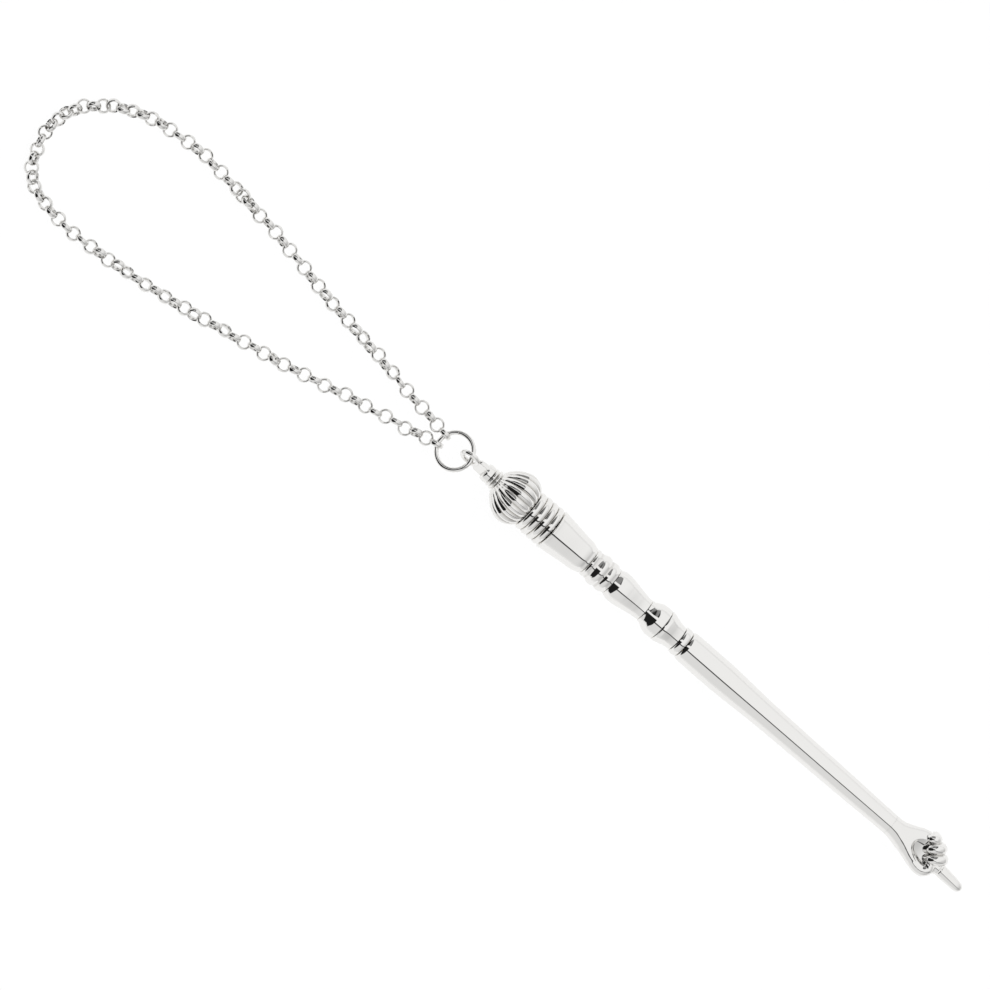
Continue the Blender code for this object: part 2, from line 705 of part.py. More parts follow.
def smooth_route(points, count):
    """Evenly spaced points on a smooth curve through the route's own points."""
    fine = []
    for i in range(len(points) - 1):
        before = points[max(i - 1, 0)]
        start, end = points[i], points[i + 1]
        after = points[min(i + 2, len(points) - 1)]
        for k in range(20):
            t = k / 20
            fine.append(
                0.5
                * (
                    2 * start
                    + (end - before) * t
                    + (2 * before - 5 * start + 4 * end - after) * t**2
                    + (3 * start - before - 3 * end + after) * t**3
                )
            )
    fine.append(points[-1])
    reach = [0.0]
    for a, b in zip(fine, fine[1:]):
        reach.append(reach[-1] + (b - a).length)
    made, k = [], 0
    for i in range(count):
        at = reach[-1] * i / (count - 1)
        while k < len(reach) - 2 and reach[k + 1] < at:
            k += 1
        made.append(fine[k].lerp(fine[k + 1], (at - reach[k]) / (reach[k + 1] - reach[k])))
    return made


def chain_loop(bench, pivot):
    """A plain tube along the loop, which stands for the links between the two end links."""
    middle = chain_hinge()
    ends = [place + strand * (LINK_OUTER_R + LINK_GAP) for _, place, strand in end_link_places()]
    route = [Vector((middle.x + x * MM, middle.y + y * MM, CHAIN_TUBE_R)) for x, y in CHAIN_ROUTE]
    points = smooth_route([ends[0], *route, ends[1]], CHAIN_POINTS)
    for point in points:
        point.z = max(point.z, CHAIN_TUBE_R)
    curve = bpy.data.curves.new("chain_loop", "CURVE")
    curve.dimensions = "3D"
    spline = curve.splines.new("POLY")
    spline.points.add(len(points) - 1)
    for slot, point in zip(spline.points, points):
        slot.co = (*(point - pivot.location), 1.0)
    curve.bevel_depth = CHAIN_TUBE_R
    curve.bevel_resolution = 3
    curve.use_fill_caps = True
    curve.materials.append(material("chain_loop", CHAIN_SILVER))
    bench.place(bpy.data.objects.new("chain_loop", curve), pivot)


def main():
    """Build the pointer at rest."""
    clear_scene()
    bench = Bench()
    lay_down = PITCH - math.pi / 2
    wand = bench.empty("wand_axis", (EYE_TIP_X, 0, EYE_HEIGHT), (0, lay_down, 0))
    hanging_eye(bench, wand)
    neck_rings(bench, wand)
    fluted_bulb(bench, wand)
    handle(bench, wand)
    shaft(bench, wand)
    tie_rod(bench, wand)
    finger_axis = finger_frame(bench, wand)
    hand(bench, wand, finger_axis)
    index_finger(bench, finger_axis)
    jump_ring(bench)
    chain_pivot = bench.empty("chain_pivot", chain_hinge(), (0, 0, 0))
    end_links(bench, chain_pivot)
    chain_loop(bench, chain_pivot)


main()
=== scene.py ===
"""The looks of a silver reading pointer: turned handle, fluted bulb, pointing hand, chain loop.

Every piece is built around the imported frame. The wand's own coordinates are a station
along its axis from the eye's tip, a side and a height, and one matrix lays it in the row
frame. The ring and the chain are built straight in the row frame. The wand's sizes are in
millimetres until a mesh is made of them.
"""

import json
import logging
import math
from collections.abc import Callable, Sequence
from dataclasses import dataclass
from enum import Enum

import bmesh
import bpy
import numpy as np
from mathutils import Matrix, Vector


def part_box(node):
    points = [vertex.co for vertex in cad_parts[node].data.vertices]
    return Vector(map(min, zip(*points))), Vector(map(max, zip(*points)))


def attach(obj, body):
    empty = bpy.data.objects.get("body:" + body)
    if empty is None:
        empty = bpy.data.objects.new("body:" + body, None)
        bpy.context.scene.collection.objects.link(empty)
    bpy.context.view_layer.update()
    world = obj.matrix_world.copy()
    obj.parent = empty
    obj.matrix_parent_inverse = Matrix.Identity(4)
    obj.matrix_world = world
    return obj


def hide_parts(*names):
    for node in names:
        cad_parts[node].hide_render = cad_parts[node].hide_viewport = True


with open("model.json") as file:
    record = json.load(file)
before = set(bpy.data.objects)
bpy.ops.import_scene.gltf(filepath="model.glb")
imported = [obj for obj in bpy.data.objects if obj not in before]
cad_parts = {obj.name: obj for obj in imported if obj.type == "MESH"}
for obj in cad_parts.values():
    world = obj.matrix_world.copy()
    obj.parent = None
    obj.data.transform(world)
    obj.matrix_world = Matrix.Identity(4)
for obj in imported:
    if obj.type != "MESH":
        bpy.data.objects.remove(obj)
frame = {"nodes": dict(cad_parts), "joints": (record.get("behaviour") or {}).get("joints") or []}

Key = tuple[float, float]
Joint = tuple[float, float, float, float]
Point = Sequence[float]
Piece = bpy.types.Object
Tree = bpy.types.NodeTree
Socket = bpy.types.NodeSocket

MM = 0.001
SHARP_EDGE = math.radians(38)
NOISE_RANGE = (0.3, 0.7)  # what a noise texture mostly stays between
LINE_LENGTH = 1 / 60  # how far a turning line runs before it changes, in metres
FULL_CREASE = 0.12 / 0.35  # the mean rise towards its neighbours that makes a full recess
INDEX_ROOT = (-0.55, -0.5)  # side and height of the index finger's axis at its root
log = logging.getLogger("reading_pointer")


class Slot(Enum):
    """The record's material slots."""

    SILVER = "silver_plate"
    CHAIN = "chain_silver"
    STEEL = "rod_steel"
    BRASS = "bush_brass"


def linear(hex_colour: str) -> tuple[float, float, float, float]:
    """Turn an sRGB hex colour into linear light.

    Args:
        hex_colour: six hex digits with a leading hash.

    Returns:
        Linear red, green and blue, and an alpha of 1.
    """
    parts = [int(hex_colour[i : i + 2], 16) / 255 for i in (1, 3, 5)]
    light = [c / 12.92 if c <= 0.04045 else ((c + 0.055) / 1.055) ** 2.4 for c in parts]
    return (light[0], light[1], light[2], 1.0)


def add_node(
    tree: Tree,
    kind: str,
    inputs: dict[str | int, object] | None = None,
    **settings: object,
) -> bpy.types.Node:
    """Add a node with its settings, its incoming links and its constants.

    Args:
        tree: the tree that takes the node.
        kind: the node's type name.
        inputs: input name or index to the socket that feeds it, or to its constant.
        **settings: the node's own properties.

    Returns:
        The new node.
    """
    made = tree.nodes.new(kind)
    for name, value in settings.items():
        setattr(made, name, value)
    for name, value in (inputs or {}).items():
        if isinstance(value, Socket):
            tree.links.new(value, made.inputs[name])
        else:
            made.inputs[name].default_value = value
    return made


def arithmetic(tree: Tree) -> Callable[..., Socket]:
    """A shorthand for arithmetic in a tree.

    Args:
        tree: the tree that takes the steps.

    Returns:
        A function of an operation and its terms that gives the result's socket.
    """

    def step(operation: str, *terms: Socket | float) -> Socket:
        """Add one step on sockets and constants, and give the socket of its result."""
        return add_node(tree, "ShaderNodeMath", dict(enumerate(terms)), operation=operation).outputs[0]

    return step


@dataclass(frozen=True)
class Metal:
    """A metal finish: bright where it is buffed, duller in its recesses, where its colour is also darkened
    as painted shade.
    """

    name: str
    bright: str
    recess: str
    roughness: float
    recess_roughness: float
    line_mm: float
    line_depth_mm: float
    mottle_mm: float
    mottle: float

    def material(self) -> bpy.types.Material:
        """Build the finish as a node material.

        Returns:
            The material, which reads Object coordinates and the recess shade attribute.
        """
        made = bpy.data.materials.new(self.name)
        made.use_nodes = True
        tree = made.node_tree
        shader = tree.nodes["Principled BSDF"]
        shader.inputs["Metallic"].default_value = 1.0
        place = add_node(tree, "ShaderNodeTexCoord").outputs["Object"]
        grain = {"Vector": place, "Scale": 1 / (self.mottle_mm * MM), "Detail": 3.0}
        mottle = add_node(tree, "ShaderNodeTexNoise", grain).outputs["Fac"]
        low, high = NOISE_RANGE
        smooth, dull = (self.roughness * (1 + sign * self.mottle) for sign in (-1, 1))
        ranges = {"From Min": low, "From Max": high, "To Min": smooth, "To Max": dull}
        buffed = add_node(tree, "ShaderNodeMapRange", {"Value": mottle, **ranges}).outputs["Result"]
        depth = add_node(tree, "ShaderNodeAttribute", attribute_name="recess").outputs["Fac"]
        worn = {0: depth, 2: buffed, 3: self.recess_roughness}
        rough = add_node(tree, "ShaderNodeMix", worn, data_type="FLOAT")
        # painted shade: the colour darkens towards the recess colour as the recess deepens
        shaded_tones = {0: depth, 6: linear(self.bright), 7: linear(self.recess)}
        colour = add_node(tree, "ShaderNodeMix", shaded_tones, data_type="RGBA")
        stretch = (1 / (self.line_mm * MM), 1 / LINE_LENGTH, 1 / LINE_LENGTH)
        turned = add_node(tree, "ShaderNodeMapping", {"Vector": place, "Scale": stretch})
        fine = {"Vector": turned.outputs["Vector"], "Scale": 1.0, "Detail": 2.0}
        lines = add_node(tree, "ShaderNodeTexNoise", fine).outputs["Fac"]
        deep = {"Height": lines, "Strength": 1.0, "Distance": self.line_depth_mm * MM}
        bump = add_node(tree, "ShaderNodeBump", deep)
        tree.links.new(rough.outputs[0], shader.inputs["Roughness"])
        tree.links.new(colour.outputs[2], shader.inputs["Base Color"])
        tree.links.new(bump.outputs["Normal"], shader.inputs["Normal"])
        return made


# Silver plate on brass, buffed to a mirror: neutral and very bright, with the faint turning
# lines that a mop leaves round the piece, a softer metal where it can't reach, and painted shade that greys
# its recesses.
SILVER_PLATE = Metal("silver_plate_buffed", "#edecea", "#b4b1ab", 0.028, 0.16, 0.22, 0.0006, 2.4, 0.35)
# Silver plate on cast brass: the same metal with a barely rippled skin, as the hand was
# tumbled and then buffed by hand, and with deeper painted shade in its creases.
CAST_SILVER = Metal("silver_plate_cast", "#ecebe9", "#807d77", 0.04, 0.2, 0.7, 0.0012, 1.1, 0.4)
# Barrel-tumbled silver-plated links: bright, with rounder and softer highlights.
TUMBLED_SILVER = Metal("silver_plate_tumbled", "#e6e5e3", "#8a8781", 0.05, 0.22, 0.5, 0.0010, 0.8, 0.3)
# Turned mild steel, left as it came from the lathe, with visible tool lines.
TURNED_STEEL = Metal("steel_turned", "#b4b5b8", "#8a8b8e", 0.28, 0.35, 0.12, 0.004, 1.5, 0.25)
# Turned brass: warm yellow with tool lines and a light brown film.
TURNED_BRASS = Metal("brass_turned", "#d8b46a", "#9c7c3c", 0.24, 0.35, 0.12, 0.004, 1.5, 0.25)


class Wardrobe:
    """Makes each finish once and hands it out."""

    def __init__(self) -> None:
        """Start with no material made."""
        self.made: dict[str, bpy.types.Material] = {}

    def get(self, metal: Metal) -> bpy.types.Material:
        """Find a finish's material, and build it on first use.

        Args:
            metal: the finish.

        Returns:
            Its material.
        """
        if metal.name not in self.made:
            self.made[metal.name] = metal.material()
        return self.made[metal.name]


WARDROBE = Wardrobe()


def finish_piece(
    obj: Piece,
    body: str,
    metal: Metal,
    replaced: Sequence[str],
    place: Matrix | None = None,
) -> Piece:
    """Set a piece in the row frame, dress it and tie it to its CAD body.

    Args:
        obj: the piece, with its shape in its mesh.
        body: the CAD body that it rides on.
        metal: its finish.
        replaced: the CAD nodes that it stands for.
        place: what lays its mesh in the row frame, if it isn't there yet.

    Returns:
        The same object.
    """
    if place is not None:
        obj.data.transform(place)
    obj.data.materials.clear()
    obj.data.materials.append(WARDROBE.get(metal))
    obj.data.shade_smooth()
    obj.data.set_sharp_from_angle(angle=SHARP_EDGE)
    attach(obj, body)
    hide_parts(*replaced)
    log.info("%s: %d faces, on %s", obj.name, len(obj.data.polygons), body)
    return obj


def new_object(name: str, mesh: bpy.types.Mesh) -> Piece:
    """Put a mesh into the scene.

    Args:
        name: the object's name.
        mesh: its mesh.

    Returns:
        The object.
    """
    obj = bpy.data.objects.new(name, mesh)
    bpy.context.scene.collection.objects.link(obj)
    return obj


def meshed(name: str, body: bmesh.types.BMesh) -> Piece:
    """Put a finished shape into the scene and let go of its working copy.

    Args:
        name: the object's and the mesh's name.
        body: the shape, which is freed.

    Returns:
        The object.
    """
    mesh = bpy.data.meshes.new(name)
    body.to_mesh(mesh)
    body.free()
    return new_object(name, mesh)


def evaluated_copy(obj: Piece, name: str) -> Piece:
    """Replace an object by a plain mesh of what its modifiers make.

    Args:
        obj: the object with live modifiers, which is removed.
        name: the new object's name.

    Returns:
        The plain object.
    """
    bpy.context.view_layer.update()
    graph = bpy.context.evaluated_depsgraph_get()
    mesh = bpy.data.meshes.new_from_object(obj.evaluated_get(graph))
    bpy.data.objects.remove(obj, do_unlink=True)
    mesh.name = name
    return new_object(name, mesh)


def open_tree(name: str, sizes: Sequence[str]) -> tuple[Tree, bpy.types.NodeOutputs]:
    """Start a Geometry Nodes tree with named inputs.

    Args:
        name: the tree's name.
        sizes: the names of its sizes, between its geometry and its material.

    Returns:
        The tree and the sockets that its inputs give.
    """
    tree = bpy.data.node_groups.new(name, "GeometryNodeTree")
    inputs = {"Geometry": "Geometry", **dict.fromkeys(sizes, "Float"), "Material": "Material"}
    for label, kind in inputs.items():
        tree.interface.new_socket(label, in_out="INPUT", socket_type=f"NodeSocket{kind}")
    tree.interface.new_socket("Geometry", in_out="OUTPUT", socket_type="NodeSocketGeometry")
    return tree, add_node(tree, "NodeGroupInput").outputs


def close_tree(tree: Tree, shape: Socket, material: Socket) -> None:
    """End a Geometry Nodes tree in real geometry that wears its material.

    Args:
        tree: the tree.
        shape: the geometry that it made.
        material: its material input.
    """
    real = add_node(tree, "GeometryNodeRealizeInstances", {0: shape}).outputs[0]
    worn = {"Geometry": real, "Material": material}
    dressed = add_node(tree, "GeometryNodeSetMaterial", worn).outputs[0]
    add_node(tree, "NodeGroupOutput", {0: dressed})


def grow(obj: Piece, tree: Tree, values: dict[str, object], name: str) -> Piece:
    """Run a Geometry Nodes tree on an object, and keep the result as a plain mesh.

    Args:
        obj: the object, which is removed.
        tree: the tree.
        values: input name to value, each set by its socket's identifier.
        name: the new object's name.

    Returns:
        The plain object.
    """
    rule = obj.modifiers.new(tree.name, "NODES")
    rule.node_group = tree
    for item in tree.interface.items_tree:
        if item.item_type == "SOCKET" and item.in_out == "INPUT" and item.name in values:
            rule[item.identifier] = values[item.name]
    return evaluated_copy(obj, name)


def points_of(node: str) -> np.ndarray:
    """The CAD node's points in the row frame, in metres."""
    return np.array([v.co for v in frame["nodes"][node].data.vertices], float)


@dataclass(frozen=True)
class WandAxis:
    """The wand's axis in the row frame, found from the frame's own round pieces."""

    tip: Vector
    along: Vector

    @classmethod
    def from_frame(cls) -> "WandAxis":
        """Lay the axis through two round pieces and start it at the eye's tip.

        Returns:
            The axis.
        """
        near, far = (sum(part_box(n), Vector()) / 2 for n in ("neck_ring_upper", "shaft_collar"))
        along = (far - near).normalized()
        start = min((Vector(p) - near).dot(along) for p in points_of("hanging_eye"))
        return cls(near + along * start, along)

    def matrix(self) -> Matrix:
        """Find what turns (station, side, height) in metres into the row frame.

        Returns:
            The matrix.
        """
        side = Vector((0, 1, 0))
        up = self.along.cross(side)
        turn = Matrix((self.along, side, up)).transposed().to_4x4()
        return Matrix.Translation(self.tip) @ turn

    def span(self, node: str) -> tuple[float, float]:
        """The first and last station of a CAD node, in millimetres."""
        stations = (points_of(node) - np.array(self.tip)) @ np.array(self.along) / MM
        return float(stations.min()), float(stations.max())

    def dress(self, obj: Piece, node: str, metal: Metal) -> Piece:
        """Finish a silver piece of the wand that stands for one CAD node."""
        return finish_piece(obj, "wand", metal, [node], self.matrix())


def fair(keys: Sequence[Key], step: float) -> list[Key]:
    """Rows on a smooth curve through the keys that never overshoots them.

    Args:
        keys: (station, radius) pairs with rising stations, in millimetres.
        step: the longest step between rows, in millimetres.

    Returns:
        The rows, keys included.
    """
    x, y = np.array(keys, float).T
    h, d = np.diff(x), np.diff(y) / np.diff(x)
    slope = np.zeros(len(x))
    slope[0], slope[-1] = d[0], d[-1]
    for i in range(1, len(x) - 1):
        if d[i - 1] * d[i] > 0:
            w1, w2 = 2 * h[i] + h[i - 1], h[i] + 2 * h[i - 1]
            slope[i] = (w1 + w2) / (w1 / d[i - 1] + w2 / d[i])
    rows = [(float(x[0]), float(y[0]))]
    for i in range(len(h)):
        steps = max(1, math.ceil(h[i] / step))
        for t in (k / steps for k in range(1, steps + 1)):
            radius = (
                (2 * t**3 - 3 * t**2 + 1) * y[i]
                + (t**3 - 2 * t**2 + t) * h[i] * slope[i]
                + (3 * t**2 - 2 * t**3) * y[i + 1]
                + (t**3 - t**2) * h[i] * slope[i + 1]
            )
            rows.append((float(x[i] + h[i] * t), float(radius)))
    return rows


def curve_point(keys: Sequence[Point], i: int, t: float) -> np.ndarray:
    """A point on the smooth line that passes through all keys.

    Args:
        keys: what it passes through.
        i: the key that the stretch starts at.
        t: how far along the stretch it is, from 0 to 1.

    Returns:
        The point, with as many numbers as a key.
    """
    picked = (max(i - 1, 0), i, i + 1, min(i + 2, len(keys) - 1))
    before, start, end, after = (np.array(keys[k], float) for k in picked)
    return 0.5 * (
        2 * start
        + (end - before) * t
        + (2 * before - 5 * start + 4 * end - after) * t**2
        + (3 * start - before - 3 * end + after) * t**3
    )


def bead_rows(start: float, length: float, root: float, crest: float, count: int = 14) -> list[Key]:
    """Rows of a half-round bead.

    Args:
        start: its first station.
        length: its length.
        root: the radius at both of its ends.
        crest: the radius at its middle.
        count: how many steps it has.

    Returns:
        The rows, all in millimetres.
    """
    rise = crest - root
    angles = [math.pi * i / count for i in range(count + 1)]
    return [(start + length * (1 - math.cos(a)) / 2, root + rise * math.sin(a)) for a in angles]


def valley_depth(rows: Sequence[Key], reach: float = 1.0, full: float = 0.9) -> list[float]:
    """How deep each row lies between its higher neighbours, from 0 to 1.

    Args:
        rows: (station, radius) pairs.
        reach: how far a neighbour may be, in millimetres.
        full: the depth that counts as 1, in millimetres.

    Returns:
        One depth for each row.
    """
    depths = []
    for station, radius in rows:
        before = [r for s, r in rows if station - reach <= s <= station]
        after = [r for s, r in rows if station <= s <= station + reach]
        depths.append(min(1.0, max(0.0, min(max(before), max(after)) - radius) / full))
    return depths


def turns(count: int) -> list[float]:
    """Even angles all the way round."""
    return [2 * math.pi * i / count for i in range(count)]


def skin(
    name: str,
    rings: Sequence[Sequence[Point]],
    depths: Sequence[float] = (),
    joined: bool = False,
) -> Piece:
    """Stretch a closed skin over rings of points.

    Args:
        name: the object's name.
        rings: the rings, with as many points in each, in metres.
        depths: the recess of each ring, if the piece shows any.
        joined: whether the last ring meets the first; if not, both ends are capped.

    Returns:
        The object, with its recesses in an attribute of its points.
    """
    body = bmesh.new()
    layer = body.verts.layers.float.new("recess") if depths else None
    made = [[body.verts.new(at) for at in ring] for ring in rings]
    for ring, depth in zip(made, depths):
        for vertex in ring:
            vertex[layer] = depth
    for first, second in zip(made, made[1:] + made[:1] if joined else made[1:]):
        for i in range(len(first)):
            k = (i + 1) % len(first)
            body.faces.new((first[i], second[i], second[k], first[k]))
    if not joined:
        body.faces.new(made[0])
        body.faces.new(made[-1][::-1])
    bmesh.ops.recalc_face_normals(body, faces=body.faces)
    return meshed(name, body)


def lathe(name: str, outline: Sequence[Key], bore: Sequence[Key] = (), sides: int = 128) -> Piece:
    """Turn an outline into a closed piece with a bore, in the wand's own coordinates.

    Args:
        name: the object's name.
        outline: (station, radius) rows from the eye's end to the hand's, in millimetres.
        bore: the rows of its bore, from the hand's end back to the eye's, or none if solid.
        sides: how many flats go round it.

    Returns:
        The object.
    """
    rings = [
        [(s * MM, r * MM * math.sin(a), r * MM * math.cos(a)) for a in turns(sides)]
        for s, r in [*outline, *bore]
    ]
    # the grooves and the bore get the recess depth that the finish darkens as painted shade
    return skin(name, rings, valley_depth(outline) + [1.0] * len(bore), bool(bore))


def wire_ring(
    name: str, radius: float, wires: Sequence[float], across: int, depths: Sequence[float] = ()
) -> Piece:
    """Bend round wire into a ring about the Z axis.

    Args:
        name: the object's name.
        radius: from the ring's middle to the wire's, in metres.
        wires: the wire's radius at even steps round the ring, in metres.
        across: how many flats go round the wire.
        depths: the recess at each step, if it shows any.

    Returns:
        The ring.
    """
    rings = []
    for wire, a in zip(wires, turns(len(wires))):
        reaches = [(radius + wire * math.cos(b), wire * math.sin(b)) for b in turns(across)]
        rings.append([(reach * math.cos(a), reach * math.sin(a), up) for reach, up in reaches])
    return skin(name, rings, depths, joined=True)


def round_bar(
    name: str, start: Point, end: Point, radii: Key, sides: int = 56, steps: int = 10
) -> Piece:
    """A tapered bar with round ends between two points of the wand's coordinates.

    Args:
        name: the object's name.
        start: its first end's middle, in millimetres.
        end: its last end's middle, in millimetres.
        radii: its radius at each of them, in millimetres.
        sides: how many flats go round it.
        steps: how many rows each round end has.

    Returns:
        The bar, in metres.
    """
    smallest = 0.002
    first, last = Vector(start), Vector(end)
    length = (last - first).length
    quarter = [math.pi / 2 * i / steps for i in range(steps + 1)]
    rows = [(-radii[0] * math.cos(a), radii[0] * math.sin(a)) for a in quarter]
    rows += [(length + radii[1] * math.sin(a), radii[1] * math.cos(a)) for a in quarter]
    obj = lathe(name, [(s, max(r, smallest)) for s, r in rows], sides=sides)
    turn = (last - first).to_track_quat("X", "Z").to_matrix().to_4x4()
    obj.data.transform(Matrix.Translation(first * MM) @ turn)
    return obj


def limb(name: str, joints: Sequence[Joint], start: float, spacing: float = 0.45) -> list[Piece]:
    """A bent limb with a smooth line through its joints, as overlapping bars.

    Args:
        name: the start of the bars' names.
        joints: (drop, side, height, radius) of each joint, in millimetres.
        start: the station that the drops are counted from, in millimetres.
        spacing: the longest bar, in millimetres.

    Returns:
        The bars.
    """
    spots = []
    for i, (a, b) in enumerate(zip(joints, joints[1:])):
        steps = max(1, math.ceil(float(np.linalg.norm(np.subtract(b, a))) / spacing))
        spots += [curve_point(joints, i, k / steps) for k in range(steps)]
    spots.append(np.array(joints[-1], float))
    made = []
    for i, (a, b) in enumerate(zip(spots, spots[1:])):
        ends = [(start + s[0], s[1], s[2]) for s in (a, b)]
        made.append(round_bar(f"{name}_{i}", *ends, (float(a[3]), float(b[3]))))
    return made


def ball(name: str, centre: Point, half: Point) -> Piece:
    """An ellipsoid in the wand's coordinates.

    Args:
        name: the object's name.
        centre: its middle, in millimetres.
        half: its half sizes, in millimetres.

    Returns:
        The ellipsoid, in metres.
    """
    body = bmesh.new()
    bmesh.ops.create_icosphere(body, subdivisions=6, radius=1.0)
    bmesh.ops.scale(body, vec=Vector(half) * MM, verts=body.verts)
    bmesh.ops.translate(body, vec=Vector(centre) * MM, verts=body.verts)
    return meshed(name, body)


def cast_together(name: str, lumps: Sequence[Piece], voxel: float, smoothing: int) -> Piece:
    """Join overlapping lumps into one skin, as a casting has.

    Args:
        name: the casting's name.
        lumps: closed objects that overlap, which are removed.
        voxel: the size of the skin's cells, in millimetres.
        smoothing: how many times the skin is evened out.

    Returns:
        The casting, as a plain mesh with its creases in the recess attribute.
    """
    body = bmesh.new()
    for lump in lumps:
        body.from_mesh(lump.data)
        bpy.data.objects.remove(lump, do_unlink=True)
    raw = meshed(name, body)
    cells = raw.modifiers.new("cells", "REMESH")
    cells.mode, cells.voxel_size, cells.adaptivity = "VOXEL", voxel * MM, 0.0
    even = raw.modifiers.new("even", "SMOOTH")
    even.factor, even.iterations = 0.5, smoothing
    made = evaluated_copy(raw, name)
    mark_creases(made)
    return made


def mark_creases(obj: Piece) -> None:
    """Store how hollow the skin is at each point in the attribute that the finish darkens as painted shade.

    Args:
        obj: the piece, a plain mesh.
    """
    body = bmesh.new()
    body.from_mesh(obj.data)
    body.normal_update()
    layer = body.verts.layers.float.new("recess")
    hollow = {}
    for vertex in body.verts:
        edges = [e.other_vert(vertex).co - vertex.co for e in vertex.link_edges]
        rise = sum(vertex.normal.dot(e) / max(e.length, 1e-9) for e in edges) / max(len(edges), 1)
        hollow[vertex.index] = max(0.0, rise)
    for vertex in body.verts:
        near = [hollow[e.other_vert(vertex).index] for e in vertex.link_edges]
        mean = (hollow[vertex.index] + sum(near)) / (1 + len(near))
        vertex[layer] = min(1.0, mean / FULL_CREASE)
    body.to_mesh(obj.data)
    body.free()


@dataclass
class HangingEye:
    """The cast lug that the jump ring hangs in, with its tongue and flange."""

    axis: WandAxis
    loop_r: float = 2.35
    wire_r: float = 0.69
    loop_steps: tuple[int, int] = (96, 32)
    loop_turn: float = math.radians(25)
    # the flat tongue: station and share of its half sizes, then half width and half thickness
    tongue: tuple[Key, ...] = ((4.967, 0.62), (5.89, 0.96), (7.7, 1.0), (9.2, 0.96))
    tongue_half: Key = (2.5, 0.74)
    tongue_turn: float = math.radians(33)
    squareness: float = 0.7
    flange_top: tuple[Key, ...] = ((8.2, 2.0), (8.45, 2.375), (8.9, 2.5))
    flange_rim: tuple[Key, ...] = ((8.9, 2.5), (10.15, 2.5), (10.3, 2.38))
    shank_start: float = 9.8
    shank_r: float = 1.2
    chamfer: Key = (0.15, 0.12)
    voxel: float = 0.09
    smoothing: int = 4

    def loop(self) -> Piece:
        """Bend the round loop and turn it about the wand's axis.

        Returns:
            The loop.
        """
        around, across = self.loop_steps
        obj = wire_ring("loop", self.loop_r * MM, [self.wire_r * MM] * around, across)
        upright = Matrix.Rotation(math.radians(90) - self.loop_turn, 4, "X")
        centre = (self.loop_r + self.wire_r) * MM
        obj.data.transform(Matrix.Translation((centre, 0, 0)) @ upright)
        return obj

    def plate(self) -> Piece:
        """Shape the flat tongue, an oval bar from the loop into the flange.

        Returns:
            The tongue.
        """
        obj = lathe("tongue", fair(self.tongue, 0.3), sides=64)
        half_width, half_thick = self.tongue_half
        for vertex in obj.data.vertices:
            y, z = vertex.co.y / MM, vertex.co.z / MM
            edge = max(abs(y), abs(z), 1e-6)
            soft = (math.hypot(y, z) / edge) ** self.squareness
            vertex.co.y = y * soft * half_thick * MM
            vertex.co.z = z * soft * half_width * MM
        obj.data.transform(Matrix.Rotation(-self.tongue_turn, 4, "X"))
        return obj

    def build(self) -> Piece:
        """Cast the loop, tongue, flange and shank in one piece.

        Returns:
            The finished eye.
        """
        rows = fair(self.flange_top, 0.08) + fair(self.flange_rim, 0.2)[1:]
        lumps = [self.loop(), self.plate(), lathe("flange", rows, sides=96)]
        end, (long, deep) = self.axis.span("hanging_eye")[1], self.chamfer
        shank = [(self.shank_start, self.shank_r), (end - long, self.shank_r)]
        lumps.append(lathe("shank", [*shank, (end, self.shank_r - deep)], sides=48))
        made = cast_together("hanging_eye_fine", lumps, self.voxel, self.smoothing)
        return self.axis.dress(made, "hanging_eye", CAST_SILVER)


